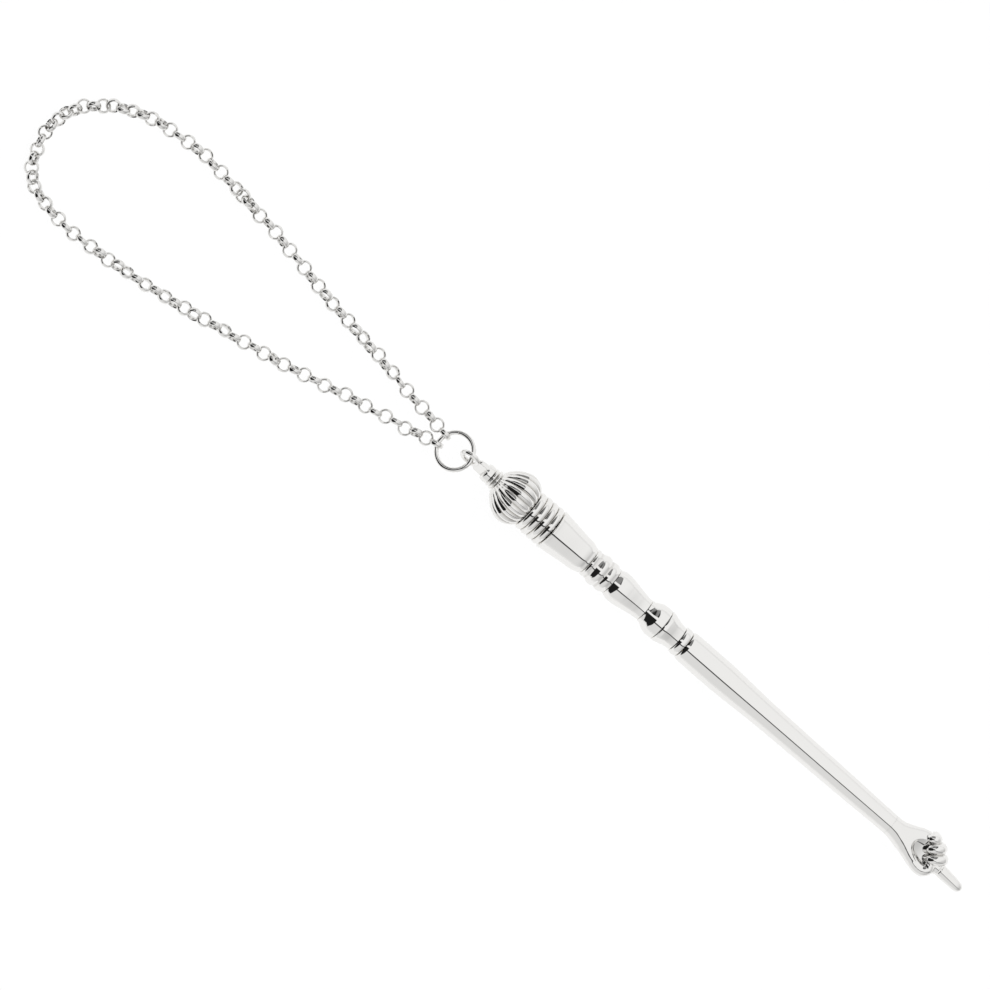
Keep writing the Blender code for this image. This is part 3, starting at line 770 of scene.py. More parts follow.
@dataclass
class FlutedBulb:
    """The onion-shaped bulb, with convex lobes and thin grooves between them."""

    axis: WandAxis
    outline: tuple[Key, ...] = (
        *((0.0, 2.85), (0.25, 3.2), (0.8, 4.05), (1.45, 4.75), (2.5, 5.82), (3.6, 6.58), (4.5, 7.04)),
        *((5.7, 7.48), (6.9, 7.62), (8.1, 7.42), (9.0, 7.08), (9.8, 6.62), (10.5, 6.02), (10.9, 5.5)),
    )
    step: float = 0.16
    lobes: int = 20
    depth: float = 0.55
    crest_turn: float = math.radians(4)
    steps_per_lobe: int = 16
    bore: float = 1.4

    def fluting(self) -> Tree:
        """Build the rule that draws the surface in between the lobes.

        Returns:
            A node tree with the sizes and the material as named inputs.
        """
        sizes = ("Lobes", "Depth", "Crest Turn", "Neck Radius", "Full Radius")
        tree, given = open_tree("lobe_fluting", sizes)
        maths = arithmetic(tree)
        place = add_node(tree, "GeometryNodeInputPosition").outputs[0]
        parts = add_node(tree, "ShaderNodeSeparateXYZ", {0: place}).outputs
        flat = add_node(tree, "ShaderNodeCombineXYZ", {1: parts[1], 2: parts[2]}).outputs[0]
        outward = add_node(tree, "ShaderNodeVectorMath", {0: flat}, operation="NORMALIZE").outputs[0]
        radius = add_node(tree, "ShaderNodeVectorMath", {0: flat}, operation="LENGTH")
        turn = maths("ADD", maths("ARCTAN2", parts[1], parts[2]), given["Crest Turn"])
        wave = maths("COSINE", maths("MULTIPLY", turn, maths("MULTIPLY", given["Lobes"], 0.5)))
        hollow = maths("SUBTRACT", 1.0, maths("ABSOLUTE", wave))
        room = maths("SUBTRACT", given["Full Radius"], given["Neck Radius"])
        above = maths("SUBTRACT", radius.outputs["Value"], given["Neck Radius"])
        share = maths("SQRT", maths("MAXIMUM", maths("DIVIDE", above, room), 0.0))
        drawn = maths("MULTIPLY", maths("MULTIPLY", hollow, share), given["Depth"])
        scaled = {0: outward, "Scale": maths("MULTIPLY", drawn, -1.0)}
        inward = add_node(tree, "ShaderNodeVectorMath", scaled, operation="SCALE").outputs[0]
        shifted = {"Geometry": given["Geometry"], "Offset": inward}
        moved = add_node(tree, "GeometryNodeSetPosition", shifted).outputs[0]
        # painted shade: the hollows between the lobes are stored as recess depth, which darkens the finish
        # there
        deep = maths("MULTIPLY", maths("POWER", hollow, 2.0), share)
        marks = {"Geometry": moved, "Name": "recess", "Value": deep}
        kinds = {"data_type": "FLOAT", "domain": "POINT"}
        stored = add_node(tree, "GeometryNodeStoreNamedAttribute", marks, **kinds).outputs[0]
        close_tree(tree, stored, given["Material"])
        return tree

    def build(self) -> Piece:
        """Turn the bulb and flute it.

        Returns:
            The finished bulb.
        """
        start, end = self.axis.span("fluted_bulb")
        keys = [(start + (end - start) * s / self.outline[-1][0], r) for s, r in self.outline]
        bore = [(end, self.bore), (start, self.bore)]
        plain = lathe("bulb_blank", fair(keys, self.step), bore, self.lobes * self.steps_per_lobe)
        values = {
            "Lobes": float(self.lobes),
            "Depth": self.depth * MM,
            "Crest Turn": self.crest_turn,
            "Neck Radius": self.outline[0][1] * MM,
            "Full Radius": max(r for _, r in self.outline) * MM,
            "Material": WARDROBE.get(SILVER_PLATE),
        }
        made = grow(plain, self.fluting(), values, "fluted_bulb_fine")
        return self.axis.dress(made, "fluted_bulb", SILVER_PLATE)


@dataclass
class TurnedHandle:
    """The turned pieces that are stacked from the eye to the hand.

    An outline is named for its CAD node, with stations from its own start.
    """

    axis: WandAxis
    rod_bore: float = 1.4
    neck_bore: float = 1.35
    collar_crests: tuple[float, ...] = (5.85, 5.97, 5.93, 6.0)
    collar_lengths: tuple[float, ...] = (1.9, 2.0, 2.0, 1.9)
    collar_root: float = 5.3
    grip: tuple[Key, ...] = (
        *((0.0, 5.75), (0.22, 6.05), (1.1, 5.92), (2.8, 5.71), (4.4, 5.52), (6.0, 5.32), (7.6, 5.12)),
        *((9.3, 4.93), (10.8, 4.78), (11.7, 4.6), (12.5, 4.3), (13.1, 4.18), (13.3, 4.05)),
    )
    centre_band: tuple[Key, ...] = (
        *((0.0, 3.85), (0.3, 4.12), (0.65, 4.24), (1.0, 4.12), (1.3, 4.03), (1.9, 4.08)),
        *((2.4, 4.24), (2.9, 4.5), (3.5, 4.64), (4.2, 4.54), (4.7, 4.3), (5.0, 4.18)),
        *((5.3, 4.2), (5.8, 4.4), (6.3, 4.48), (6.9, 4.38), (7.5, 4.1), (8.0, 3.95)),
    )
    vase_sleeve: tuple[Key, ...] = (
        *((0.0, 3.9), (0.3, 4.0), (0.9, 4.24), (1.5, 4.45), (2.2, 4.55), (3.3, 4.5), (4.6, 4.36)),
        *((5.4, 4.22), (6.2, 4.08), (7.0, 3.92), (7.8, 3.76), (8.6, 3.62), (9.4, 3.47)),
        *((10.2, 3.36), (11.0, 3.29), (11.6, 3.27)),
    )
    knop_upper: tuple[Key, ...] = (
        *((0.0, 3.3), (0.9, 3.5), (1.6, 3.84), (2.2, 4.2), (2.9, 4.52), (3.6, 4.67), (4.4, 4.72)),
        *((5.75, 4.7), (5.9, 4.58)),
    )
    knop_lower: tuple[Key, ...] = (
        *((0.0, 4.58), (0.15, 4.7), (0.9, 4.68), (1.6, 4.52), (2.3, 4.31), (3.3, 4.0)),
        *((4.3, 3.79), (5.5, 3.62)),
    )
    shaft: tuple[Key, ...] = (
        *((0.0, 4.0), (0.25, 4.22), (0.8, 4.36), (1.8, 4.44), (5.0, 4.49), (12.6, 4.47)),
        *((17.9, 4.29), (23.3, 4.03), (28.6, 3.82), (36.3, 3.65), (44.6, 3.5), (53.6, 3.37)),
        *((61.1, 3.24), (67.6, 3.06), (74.0, 2.95)),
    )
    # the longest step between rows of each outline
    steps: tuple[tuple[str, float], ...] = (
        *(("grip", 0.14), ("centre_band", 0.08), ("vase_sleeve", 0.14)),
        *(("knop_upper", 0.1), ("knop_lower", 0.1)),
    )
    shaft_step: float = 0.6
    # the shaft's bore: radius round the bush, radius past it, and where it narrows
    shaft_bore: tuple[float, float, float] = (2.35, 1.75, 7.4)
    # the single beads: root and crest radius
    beads: tuple[tuple[str, float, float], ...] = (
        ("shaft_collar", 3.75, 4.2),
        ("neck_ring_upper", 2.2, 2.62),
        ("neck_ring_lower", 2.35, 2.85),
    )

    def placed(self, node: str, step: float) -> list[Key]:
        """Fit an outline between its CAD node's two ends.

        Args:
            node: the CAD node.
            step: the longest step between rows, in millimetres.

        Returns:
            The rows, with stations along the wand.
        """
        keys: Sequence[Key] = getattr(self, node)
        start, end = self.axis.span(node)
        scale = (end - start) / keys[-1][0]
        return fair([(start + s * scale, r) for s, r in keys], step)

    def collar_rows(self) -> list[Key]:
        """Set the collar's beads end to end, with sharp grooves between them.

        Returns:
            The rows, with stations along the wand.
        """
        rows: list[Key] = []
        at, end = self.axis.span("reeded_collar")
        scale = (end - at) / sum(self.collar_lengths)
        for length, crest in zip(self.collar_lengths, self.collar_crests):
            rows += bead_rows(at, length * scale, self.collar_root, crest)[1 if rows else 0 :]
            at += length * scale
        return rows

    def build(self) -> list[Piece]:
        """Turn every piece of the handle.

        Returns:
            The finished pieces.
        """
        outlines = {"reeded_collar": self.collar_rows()}
        outlines |= {node: self.placed(node, step) for node, step in self.steps}
        for node, root, crest in self.beads:
            start, end = self.axis.span(node)
            outlines[node] = bead_rows(start, end - start, root, crest)
        outlines["shaft"] = self.placed("shaft", self.shaft_step)
        made = []
        for node, rows in outlines.items():
            start, end = rows[0][0], rows[-1][0]
            radius = self.neck_bore if node.startswith("neck_ring") else self.rod_bore
            bore = [(end, radius), (start, radius)]
            if node == "shaft":
                wide, narrow, depth = self.shaft_bore
                bore = [(end, narrow), (start + depth, narrow), (start + depth, wide), (start, wide)]
            made.append(self.axis.dress(lathe(f"{node}_fine", rows, bore), node, SILVER_PLATE))
        return made


@dataclass(frozen=True)
class Section:
    """An oval section of the cuff: where it stands, its two sides, top, bottom and ridge."""

    drop: float
    left: float
    right: float
    top: float
    bottom: float
    ridge: float


@dataclass
class PointingHand:
    """The cast right hand: a cuff that opens round the palm, folded fingers and the thumb."""

    axis: WandAxis
    cuff: tuple[Section, ...] = (
        Section(-1.5, 2.96, -2.96, 2.96, -2.96, 0.0),
        Section(0.0, 2.96, -2.96, 2.96, -2.96, 0.0),
        Section(2.0, 3.02, -3.15, 3.0, -3.15, -0.1),
        Section(4.0, 3.5, -3.6, 3.06, -3.6, -0.55),
        Section(5.8, 4.25, -3.95, 3.14, -4.1, -1.2),
        Section(7.4, 4.95, -4.25, 3.25, -4.55, -2.0),
        Section(9.4, 5.6, -4.7, 3.35, -4.9, -2.8),
        Section(11.4, 5.7, -5.2, 3.3, -4.85, -3.0),
        Section(13.5, 5.0, -5.1, 2.9, -4.4, -2.8),
        Section(15.4, 3.9, -4.4, 2.2, -3.7, -2.0),
        Section(17.0, 2.2, -2.8, 1.2, -2.6, -1.0),
        Section(17.6, 0.8, -1.6, 0.2, -1.4, -0.2),
    )
    cuff_sides: int = 96
    # the hollow of the palm: drop, side and height of its middle, and its half sizes
    bowl: tuple[float, float, float] = (14.0, 1.0, 4.6)
    bowl_half: tuple[float, float, float] = (7.6, 4.7, 3.6)
    # the tenon: its radius and length, its chamfer, and how far it reaches into the hand
    tenon: Key = (1.6, 6.0)
    tenon_chamfer: float = 0.15
    tenon_inside: float = 2.0
    # the folded fingers and the thumb: (drop, side, height, radius) of each joint
    little: tuple[Joint, ...] = (
        *((11.9, 5.5, -1.4, 1.35), (12.2, 5.1, 1.3, 1.4)),
        *((11.1, 4.5, 1.9, 1.25), (10.0, 3.8, 0.6, 1.0)),
    )
    ring: tuple[Joint, ...] = (
        *((14.2, 4.1, -1.6, 1.6), (14.7, 3.9, 1.7, 1.55)),
        *((13.0, 2.6, 2.5, 1.4), (11.5, 1.4, 0.8, 1.15)),
    )
    middle: tuple[Joint, ...] = (
        *((16.2, 2.1, -1.6, 1.7), (16.8, 1.9, 1.8, 1.55)),
        *((14.8, 0.4, 2.7, 1.4), (13.1, -0.8, 1.0, 1.15)),
    )
    thumb: tuple[Joint, ...] = (
        *((6.0, -2.0, 0.9, 1.9), (9.4, -3.1, 1.4, 1.75), (12.4, -3.9, 1.7, 1.7)),
        *((14.3, -3.7, 1.9, 1.7), (15.3, -2.5, 2.1, 1.55)),
        *((14.8, -1.6, 2.2, 1.3), (13.6, -1.9, 1.1, 1.0)),
    )
    index_rows: tuple[Key, ...] = ((12.0, 1.7), (16.0, 2.05), (17.6, 2.05), (18.1, 1.95))
    cut: float = 0.02
    voxel: float = 0.1
    smoothing: int = 5

    def sleeve(self, start: float) -> Piece:
        """Loft the oval sections from the wrist to the finger's root.

        Args:
            start: the hand's first station, in millimetres.

        Returns:
            A closed solid.
        """
        fields = ("left", "right", "top", "bottom", "ridge")
        curves = [fair([(c.drop, getattr(c, f)) for c in self.cuff], 0.4) for f in fields]
        rings = []
        for rows in zip(*curves):
            left, right, top, bottom, ridge = (row[1] for row in rows)
            ring = []
            for a in turns(self.cuff_sides):
                wide = (left - right) / 2 * math.sin(a)
                tall = (top if math.cos(a) > 0 else -bottom) * math.cos(a)
                shift = ridge * max(0.0, math.cos(a)) ** 2
                at = Vector((start + rows[0][0], (left + right) / 2 + wide + shift, tall))
                ring.append(at * MM)
            rings.append(ring)
        return skin("sleeve", rings)

    def opened_sleeve(self, start: float) -> Piece:
        """Hollow the sleeve where the palm lies open.

        Args:
            start: the hand's first station, in millimetres.

        Returns:
            The hollowed sleeve.
        """
        solid = self.sleeve(start)
        drop, side, height = self.bowl
        cutter = ball("bowl", (start + drop, side, height), self.bowl_half)
        hollow = solid.modifiers.new("bowl", "BOOLEAN")
        hollow.operation, hollow.solver, hollow.object = "DIFFERENCE", "EXACT", cutter
        made = evaluated_copy(solid, "opened_sleeve")
        bpy.data.objects.remove(cutter, do_unlink=True)
        return made

    def lumps(self, start: float) -> list[Piece]:
        """The overlapping lumps that the casting is made of.

        Args:
            start: the hand's first station, in millimetres.

        Returns:
            Closed objects in the wand's coordinates.
        """
        made = [self.opened_sleeve(start)]
        for i, joints in enumerate((self.little, self.ring, self.middle, self.thumb)):
            made += limb(f"limb_{i}", joints, start)
        side, height = INDEX_ROOT
        root = lathe("root", fair([(start + s, r) for s, r in self.index_rows], 0.3), sides=64)
        root.data.transform(Matrix.Translation((0, side * MM, height * MM)))
        return [*made, root]

    def build(self) -> Piece:
        """Cast the hand, square its wrist off and add the tenon that the shaft holds.

        Returns:
            The finished hand.
        """
        start = self.axis.span("shaft")[1] + self.cut
        made = cast_together("pointing_hand_fine", self.lumps(start), self.voxel, self.smoothing)
        body = bmesh.new()
        body.from_mesh(made.data)
        cut = bmesh.ops.bisect_plane(
            body,
            geom=[*body.verts, *body.edges, *body.faces],
            plane_co=(start * MM, 0, 0),
            plane_no=(-1, 0, 0),
            clear_outer=True,
        )
        rim = [e for e in cut["geom_cut"] if isinstance(e, bmesh.types.BMEdge)]
        bmesh.ops.contextual_create(body, geom=rim)
        (radius, length), edge = self.tenon, self.tenon_chamfer
        rows = [(start - length, radius - edge), (start - length + edge, radius)]
        tenon = lathe("tenon", [*rows, (start + self.tenon_inside, radius)], sides=48)
        body.from_mesh(tenon.data)
        bpy.data.objects.remove(tenon, do_unlink=True)
        body.to_mesh(made.data)
        body.free()
        return self.axis.dress(made, "pointing_hand", CAST_SILVER)


@dataclass
class IndexFinger:
    """The straight index finger, a little flat, with its nail on the underside."""

    axis: WandAxis
    seat: float = 171.9
    lean: float = math.radians(3)
    outline: tuple[Key, ...] = (
        *((0.0, 1.72), (0.3, 1.8), (1.6, 1.76), (3.0, 1.68), (4.6, 1.6), (5.8, 1.52), (6.6, 1.4)),
        *((7.2, 1.18), (7.6, 0.9), (7.86, 0.55), (7.97, 0.25), (8.0, 0.02)),
    )
    flatness: float = 0.96
    nail: Key = (5.6, 7.5)
    nail_half: float = 0.95
    nail_side: float = 0.8  # how far its middle lies from its side edge, as its rim counts it
    nail_edge: float = 0.12
    nail_depth: float = 0.09

    def build(self) -> Piece:
        """Shape the finger from a turned bar.

        Returns:
            The finished finger.
        """
        obj = lathe("index_finger_fine", fair(self.outline, 0.07), sides=96)
        first, last = self.nail
        for vertex in obj.data.vertices:
            s, y, z = (c / MM for c in vertex.co)
            across = abs(y) / self.nail_half
            if z < 0 and first < s < last and across < 1:
                rim = min(s - first, last - s, (1 - across) * self.nail_side) / self.nail_edge
                z += self.nail_depth * min(1.0, max(0.0, rim))
            vertex.co = Vector((s, y, z * self.flatness)) * MM
        seat = Matrix.Translation(Vector((self.seat, *INDEX_ROOT)) * MM)
        obj.data.transform(seat @ Matrix.Rotation(-self.lean, 4, "Z"))
        return self.axis.dress(obj, "index_finger", CAST_SILVER)


def ring_plane(node: str) -> tuple[Vector, Vector, float]:
    """Where a round ring of the frame lies.

    Args:
        node: the CAD node of a ring.

    Returns:
        Its middle, its axis and its outer radius, in metres.
    """
    points = points_of(node)
    low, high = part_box(node)
    middle = (np.array(low) + np.array(high)) / 2
    spread, axes = np.linalg.eigh(np.cov((points - middle).T))
    axis = Vector(axes[:, int(np.argmin(spread))])
    if axis.z < 0:
        axis.negate()
    away = points - middle
    flat = away - np.outer(away @ np.array(axis), np.array(axis))
    return Vector(middle), axis, float(np.linalg.norm(flat, axis=1).max())


@dataclass
class JumpRing:
    """The round wire ring between the eye and the chain, with its closed slit."""

    wire_r: float = 0.675 * MM
    steps: tuple[int, int] = (220, 28)
    slit_turn: float = math.radians(118)
    slit_width: float = math.radians(0.9)
    slit_depth: float = 0.06 * MM

    def build(self) -> Piece:
        """Bend the wire round.

        Returns:
            The finished ring.
        """
        middle, axis, outer = ring_plane("jump_ring")
        around, across = self.steps
        cuts = [math.exp(-(((a - self.slit_turn) / self.slit_width) ** 2)) for a in turns(around)]
        wires = [self.wire_r - self.slit_depth * cut for cut in cuts]
        obj = wire_ring("jump_ring_fine", outer - self.wire_r, wires, across, cuts)
        turn = axis.to_track_quat("Z", "X").to_matrix().to_4x4()
        place = Matrix.Translation(middle) @ turn
        return finish_piece(obj, "ring", SILVER_PLATE, ["jump_ring"], place)


@dataclass
class ChainLoop:
    """The rolo chain: round links of flat oval wire, each turned a quarter from the last."""

    outer_r: float = 2.1 * MM
    thickness: float = 0.7 * MM
    width: float = 1.45 * MM
    pitch: float = 3.06 * MM
    link_steps: tuple[int, int] = (32, 12)  # round a link and round its wire
    # where the links lie pushed together: share of the chain's length, reach, pitch
    bunches: tuple[tuple[float, float, float], ...] = ((0.5, 0.12, 2.5 * MM), (0.28, 0.01, 1.9 * MM))
    flat_drop: float = 0.35 * MM
    loose_roll: float = 0.22
    loose_swing: float = 0.09
    loose_side: float = 0.14 * MM
    seed: int = 7
    # the loop on the surface, in millimetres from the chain's hinge on the jump ring
    route: tuple[Key, ...] = (
        *((-15.0, 3.7), (-31.0, 6.1), (-47.0, 8.5), (-63.0, 11.3), (-79.0, 13.6), (-95.0, 15.2)),
        *((-103.5, 15.0), (-111.0, 14.2), (-118.0, 12.2), (-124.8, 8.4), (-130.0, 3.4)),
        *((-132.6, -3.8), (-131.6, -11.8), (-128.0, -18.2), (-121.5, -21.4), (-113.5, -22.6)),
        *((-105.5, -22.6), (-89.5, -20.7), (-73.5, -18.2), (-57.5, -15.0), (-42.0, -11.7)),
        *((-26.0, -7.7), (-14.0, -5.0)),
    )
    steps_per_key: int = 64
    # where along the chain the links lie twisted: share of its length, turn, reach
    twists: tuple[tuple[float, float, float], ...] = (
        (0.72, math.radians(45), 0.07),
        (0.285, math.radians(-65), 0.014),
        (0.45, math.radians(60), 0.05),
        (0.55, math.radians(-40), 0.03),
        (0.12, math.radians(-20), 0.05),
    )

    def path(self) -> np.ndarray:
        """The chain's line from the middle of one end link to the middle of the other.

        Returns:
            Points 0.25 mm apart or less, in metres.
        """
        joint = next(j for j in frame["joints"] if j["name"] == "chain_swing")
        hinge = Vector(joint["pos_m"])
        first, last = (ring_plane(n)[0] for n in ("end_link_upper", "end_link_lower"))
        middle = [Vector((hinge.x + x * MM, hinge.y + y * MM, self.outer_r)) for x, y in self.route]
        keys, steps = [first, *middle, last], self.steps_per_key
        fine = [curve_point(keys, i, k / steps) for i in range(len(keys) - 1) for k in range(steps)]
        return np.array([*fine, np.array(last)])

    def places(self, line: np.ndarray) -> list[tuple[Vector, Vector, float]]:
        """Where each link between the two end links sits.

        Args:
            line: the chain's line.

        Returns:
            Middle, direction and share of the length of each link.
        """
        steps = np.linalg.norm(np.diff(line, axis=0), axis=1)
        reach = np.concatenate([[0.0], np.cumsum(steps)])
        total = reach[-1]
        stops, at = [], 0.0
        while at < total:
            stops.append(at)
            step = self.pitch
            for middle, share, tight in self.bunches:
                step += (tight - self.pitch) * math.exp(-(((at / total - middle) / share) ** 2))
            at += step
        count = len(stops) - (len(stops) % 2)
        scale = total / stops[count] if count < len(stops) else total / at
        made = []
        for stop in (s * scale for s in stops[1:count]):
            behind, spot, ahead = (
                Vector([float(np.interp(stop + shift, reach, line[:, c])) for c in range(3)])
                for shift in (-MM, 0.0, MM)
            )
            made.append((spot, (ahead - behind).normalized(), stop / total))
        return made

    def rest_height(self, roll: float) -> float:
        """How high the middle of a link stands when it only just touches the table."""
        flat, upright = abs(math.cos(roll)), abs(math.sin(roll))
        return self.outer_r * upright + self.width / 2 * flat

    def linking(self) -> Tree:
        """Build the rule that sets one link on each point.

        Returns:
            A node tree with the link's sizes and the material as named inputs.
        """
        tree, given = open_tree("rolo_links", ("Outer Radius", "Thickness", "Width"))
        maths = arithmetic(tree)
        half = maths("MULTIPLY", given["Thickness"], 0.5)
        radius = maths("SUBTRACT", given["Outer Radius"], half)
        circle, (around, across) = "GeometryNodeCurvePrimitiveCircle", self.link_steps
        loop = add_node(tree, circle, {"Resolution": around, "Radius": radius}).outputs[0]
        section = add_node(tree, circle, {"Resolution": across, "Radius": 0.5}).outputs[0]
        sizes = {0: given["Thickness"], 1: given["Width"], 2: 1.0}
        size = add_node(tree, "ShaderNodeCombineXYZ", sizes).outputs[0]
        oval = {"Geometry": section, "Scale": size}
        wire = add_node(tree, "GeometryNodeTransform", oval).outputs[0]
        swept = {"Curve": loop, "Profile Curve": wire}
        link = add_node(tree, "GeometryNodeCurveToMesh", swept).outputs[0]
        reader, stored = "GeometryNodeInputNamedAttribute", {"Name": "turn"}
        turn = add_node(tree, reader, stored, data_type="FLOAT_VECTOR").outputs[0]
        rotation = add_node(tree, "FunctionNodeEulerToRotation", {0: turn}).outputs[0]
        chained = {"Points": given["Geometry"], "Instance": link, "Rotation": rotation}
        set_out = add_node(tree, "GeometryNodeInstanceOnPoints", chained).outputs[0]
        close_tree(tree, set_out, given["Material"])
        return tree

    def links(self, name: str, spots: Sequence[tuple[Vector, Matrix]], replaced: str) -> Piece:
        """Make links at the given places.

        Args:
            name: the piece's name.
            spots: middle and turn of each link, with the link's axis along its own Z.
            replaced: the CAD node that the piece stands for.

        Returns:
            The finished piece, on the chain's body.
        """
        mesh = bpy.data.meshes.new(name)
        mesh.from_pydata([tuple(s) for s, _ in spots], [], [])
        stored = mesh.attributes.new("turn", "FLOAT_VECTOR", "POINT")
        for place, (_, turn) in zip(stored.data, spots):
            place.vector = turn.to_euler()
        values = {
            "Outer Radius": self.outer_r,
            "Thickness": self.thickness,
            "Width": self.width,
            "Material": WARDROBE.get(TUMBLED_SILVER),
        }
        made = grow(new_object(name, mesh), self.linking(), values, name)
        return finish_piece(made, "chain", TUMBLED_SILVER, [replaced])

    def build(self) -> list[Piece]:
        """Returns:
            The finished pieces.
        """
        ends = []
        for node in ("end_link_upper", "end_link_lower"):
            middle, axis, _ = ring_plane(node)
            turn = axis.to_track_quat("Z", "X").to_matrix()
            ends.append(self.links(f"{node}_fine", [(middle, turn)], node))
        line = self.path()
        chance = np.random.default_rng(self.seed)
        spots = []
        for i, (spot, way, share) in enumerate(self.places(line)):
            side = Vector((0, 0, 1)).cross(way).normalized()
            up = way.cross(side)
            roll = 0.0 if i % 2 == 0 else math.pi / 2
            for middle, twist, reach in self.twists:
                roll += twist * math.exp(-(((share - middle) / reach) ** 2))
            roll += float(chance.normal(0, self.loose_roll))
            swing = Matrix.Rotation(float(chance.normal(0, self.loose_swing)), 3, "Z")
            way, side = swing @ way, swing @ side
            spot = spot + side * float(chance.normal(0, self.loose_side))
            axis = up * math.cos(roll) + side * math.sin(roll)
            spot.z = max(spot.z - self.flat_drop * abs(math.cos(roll)), self.rest_height(roll))
            spots.append((spot, Matrix((way, axis.cross(way), axis)).transposed()))
        chain = self.links("chain_links", spots, "chain_loop")
        return [*ends, chain]


@dataclass(frozen=True)
class Studio:
    """White table, a tent of light that is open behind the camera, and the camera.

    The tent knows a direction by its turn about the wand's length, in radians from straight
    up, and by its share along the wand, from -1 at the chain to 1 at the hand.
    """

    aim: tuple[float, float, float] = (14.55, -3.05, 0.0)
    lean: float = math.radians(9)
    roll: float = math.radians(41.06)
    distance: float = 3.0
    view_width: float = 261.2 * MM
    sensor_mm: float = 36.0
    clip: Key = (0.05, 20.0)
    table_half: float = 3.0
    table_opacity: float = 0.32
    table_glow: float = 0.8
    # the two walls, and the narrow gap where they meet
    bright_side: float = 0.99
    dim_side: float = 0.82
    side_edge: float = 0.02
    gap_turn: float = math.radians(-18)
    gap: Key = (math.radians(2.4), math.radians(5.6))
    gap_level: float = 0.03
    # the lighter foot of the walls, by height, and their fall-off towards the hand
    low: Key = (0.25, 0.08)
    low_level: float = 0.88
    front: Key = (0.3, 0.95)
    front_fall: float = 0.35
    # the dark opening towards the chain, its bowed edge, its sill and the light strip in it
    opening: Key = (-0.17, -0.1)
    opening_level: float = 0.015
    bow: float = 0.3
    sill: Key = (0.1, 0.2)
    strip: Key = (math.radians(3), math.radians(21))
    strip_edge: float = math.radians(2.5)
    # the grey flap that hangs in the opening
    flap: Key = (-0.66, -0.34)
    flap_edge: float = 0.05
    flap_level: float = 0.26
    horizon: Key = (0.0, -0.02)

    def camera(self, axis: WandAxis) -> None:
        """Set the camera nearly overhead, leaning towards the chain.

        Args:
            axis: the wand's axis.
        """
        data = bpy.data.cameras.new("camera")
        data.sensor_width = self.sensor_mm
        data.lens = data.sensor_width * self.distance / self.view_width
        data.clip_start, data.clip_end = self.clip
        obj = bpy.data.objects.new("camera", data)
        bpy.context.scene.collection.objects.link(obj)
        back = Vector((-math.sin(self.lean), 0, math.cos(self.lean)))
        ahead = Vector((math.cos(self.lean), 0, math.sin(self.lean)))
        side = Vector((0, 1, 0))
        right = ahead * math.cos(self.roll) + side * math.sin(self.roll)
        up = side * math.cos(self.roll) - ahead * math.sin(self.roll)
        turn = Matrix((right, up, back)).transposed().to_4x4()
        target = axis.matrix() @ (Vector(self.aim) * MM)
        obj.matrix_world = Matrix.Translation(target + back * self.distance) @ turn
        bpy.context.scene.camera = obj

    def tent(self) -> None:
        """Light everything from a tent whose brightness depends on the direction alone."""
        world = bpy.data.worlds.new("tent")
        bpy.context.scene.world = world
        world.use_nodes = True
        tree = world.node_tree
        tree.nodes.clear()
        maths = arithmetic(tree)
        way = add_node(tree, "ShaderNodeTexCoord").outputs["Generated"]
        along, across, height = add_node(tree, "ShaderNodeSeparateXYZ", {0: way}).outputs
        side = maths("ARCTAN2", across, height)

        def rise(value: Socket, start: float, end: float) -> Socket:
            """Rise smoothly from 0 to 1.

            Args:
                value: what it depends on.
                start: the value where it is still 0.
                end: the value where it is 1.

            Returns:
                The socket of the result.
            """
            limits = {"From Min": start, "From Max": end, "To Min": 0.0, "To Max": 1.0}
            given, smooth = {"Value": value, **limits}, {"interpolation_type": "SMOOTHSTEP"}
            return add_node(tree, "ShaderNodeMapRange", given, **smooth).outputs["Result"]

        def near(value: Socket, middle: float, edge: float) -> Socket:
            """Rise smoothly from 0 to 1, within this edge on each side of a middle value."""
            return rise(value, middle - edge, middle + edge)

        def toward(level: Socket, share: Socket, goal: float) -> Socket:
            """Draw a level towards a goal by this share of the way."""
            return maths("ADD", level, maths("MULTIPLY", share, maths("SUBTRACT", goal, level)))

        def rest(share: Socket) -> Socket:
            """What a share leaves of 1."""
            return maths("SUBTRACT", 1.0, share)

        open_gap = rise(maths("ABSOLUTE", maths("SUBTRACT", side, self.gap_turn)), *self.gap)
        bright = near(side, self.gap_turn, self.side_edge)
        wall = maths("ADD", self.dim_side, maths("MULTIPLY", bright, self.bright_side - self.dim_side))
        lit = maths("ADD", self.gap_level, maths("MULTIPLY", open_gap, 1 - self.gap_level))
        wall = toward(maths("MULTIPLY", wall, lit), rise(height, *self.low), self.low_level)
        wall = maths("MULTIPLY", wall, rest(maths("MULTIPLY", rise(along, *self.front), self.front_fall)))

        first, last = self.strip
        before = near(side, last, self.strip_edge)
        strip = maths("SUBTRACT", near(side, first, self.strip_edge), before)
        upright = maths("DIVIDE", height, maths("SQRT", rest(maths("MULTIPLY", along, along))))
        bowed = maths("ADD", along, maths("MULTIPLY", rest(upright), self.bow))
        back = maths("MULTIPLY", rest(rise(bowed, *self.opening)), rest(strip))
        back = maths("MULTIPLY", back, rise(height, *self.sill))

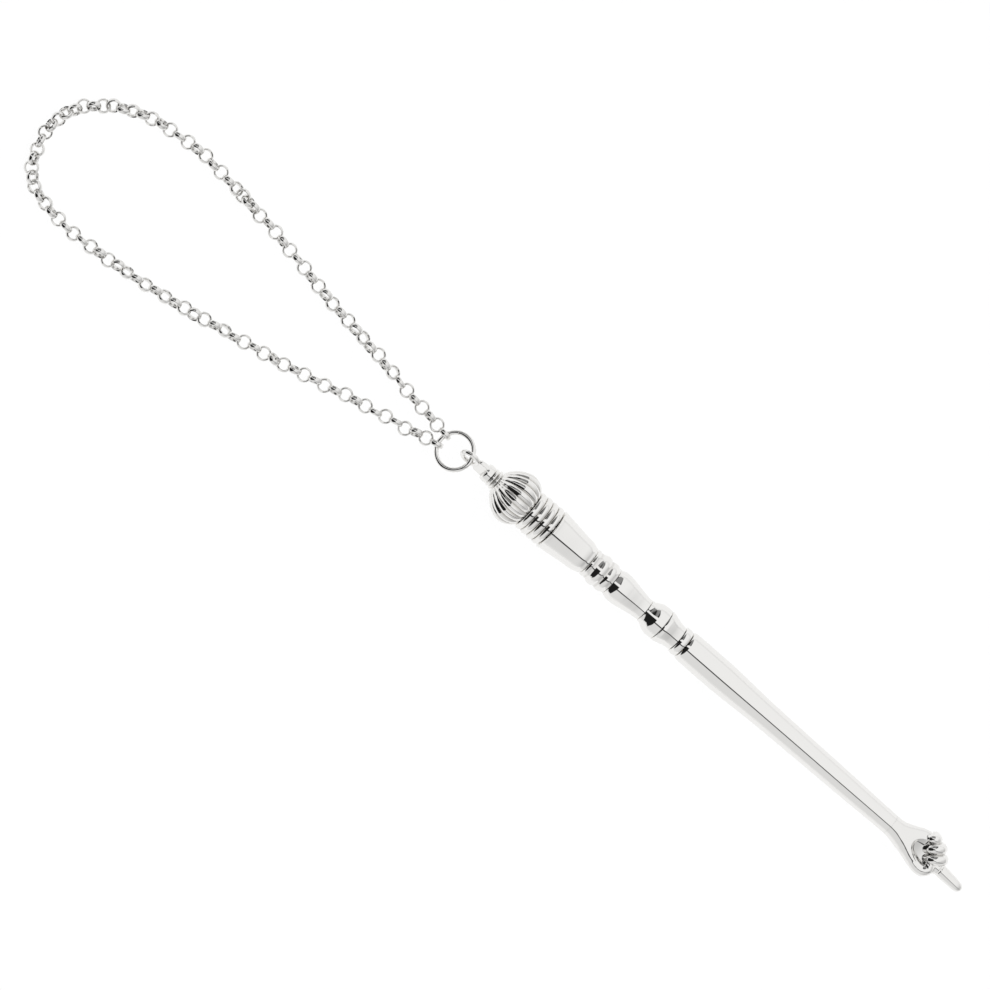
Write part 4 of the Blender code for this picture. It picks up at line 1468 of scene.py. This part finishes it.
        bottom, top = (near(along, edge, self.flap_edge) for edge in self.flap)
        flap = maths("MULTIPLY", maths("MULTIPLY", maths("SUBTRACT", bottom, top), before), self.flap_level)
        dark = maths("MULTIPLY", maths("ADD", flap, self.opening_level), back)
        level = maths("ADD", maths("MULTIPLY", wall, rest(back)), dark)
        level = toward(level, rise(height, *self.horizon), 1.0)
        white = {"Color": linear("#ffffff"), "Strength": level}
        light = add_node(tree, "ShaderNodeBackground", white).outputs[0]
        add_node(tree, "ShaderNodeOutputWorld", {0: light})

    def table(self) -> None:
        """Lay a white table that glows a little, as backlit acrylic does, so no shadow is left.

        It is translucent, so the chain still shows where a pose takes it below the table.
        """
        mesh = bpy.data.meshes.new("table")
        h = self.table_half
        mesh.from_pydata([(-h, -h, 0), (h, -h, 0), (h, h, 0), (-h, h, 0)], [], [(0, 1, 2, 3)])
        made = bpy.data.materials.new("acrylic_opal_backlit")
        made.use_nodes = True
        looks = {
            "Base Color": linear("#aaaaaa"),
            "Roughness": 0.9,
            "Specular IOR Level": 0.0,
            "Emission Color": linear("#ffffff"),
            "Emission Strength": self.table_glow,
            "Alpha": self.table_opacity,
        }
        shader = made.node_tree.nodes["Principled BSDF"]
        for name, value in looks.items():
            shader.inputs[name].default_value = value
        mesh.materials.append(made)
        new_object("table", mesh)

    def build(self, axis: WandAxis) -> None:
        """Set up camera, table and light.

        Args:
            axis: the wand's axis.
        """
        self.camera(axis)
        self.table()
        self.tent()
        bpy.context.scene.view_settings.view_transform = "Standard"


def dress_inner_pieces() -> None:
    """Give the pieces inside the handle their own metals."""
    inner = (("tie_rod", TURNED_STEEL, Slot.STEEL), ("shaft_bush", TURNED_BRASS, Slot.BRASS))
    for name, metal, slot in inner:
        node = frame["nodes"][name]
        node.material_slots[0].material = WARDROBE.get(metal)


def main() -> None:
    """Build the pointer around its frame, piece by piece."""
    logging.basicConfig(level=logging.INFO, format="%(name)s %(message)s")
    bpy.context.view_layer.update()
    axis = WandAxis.from_frame()
    Studio().build(axis)
    ChainLoop().build()
    JumpRing().build()
    for sub_assembly in (HangingEye, FlutedBulb, TurnedHandle, PointingHand, IndexFinger):
        sub_assembly(axis).build()
    dress_inner_pieces()


if __name__ == "__main__":
    main()
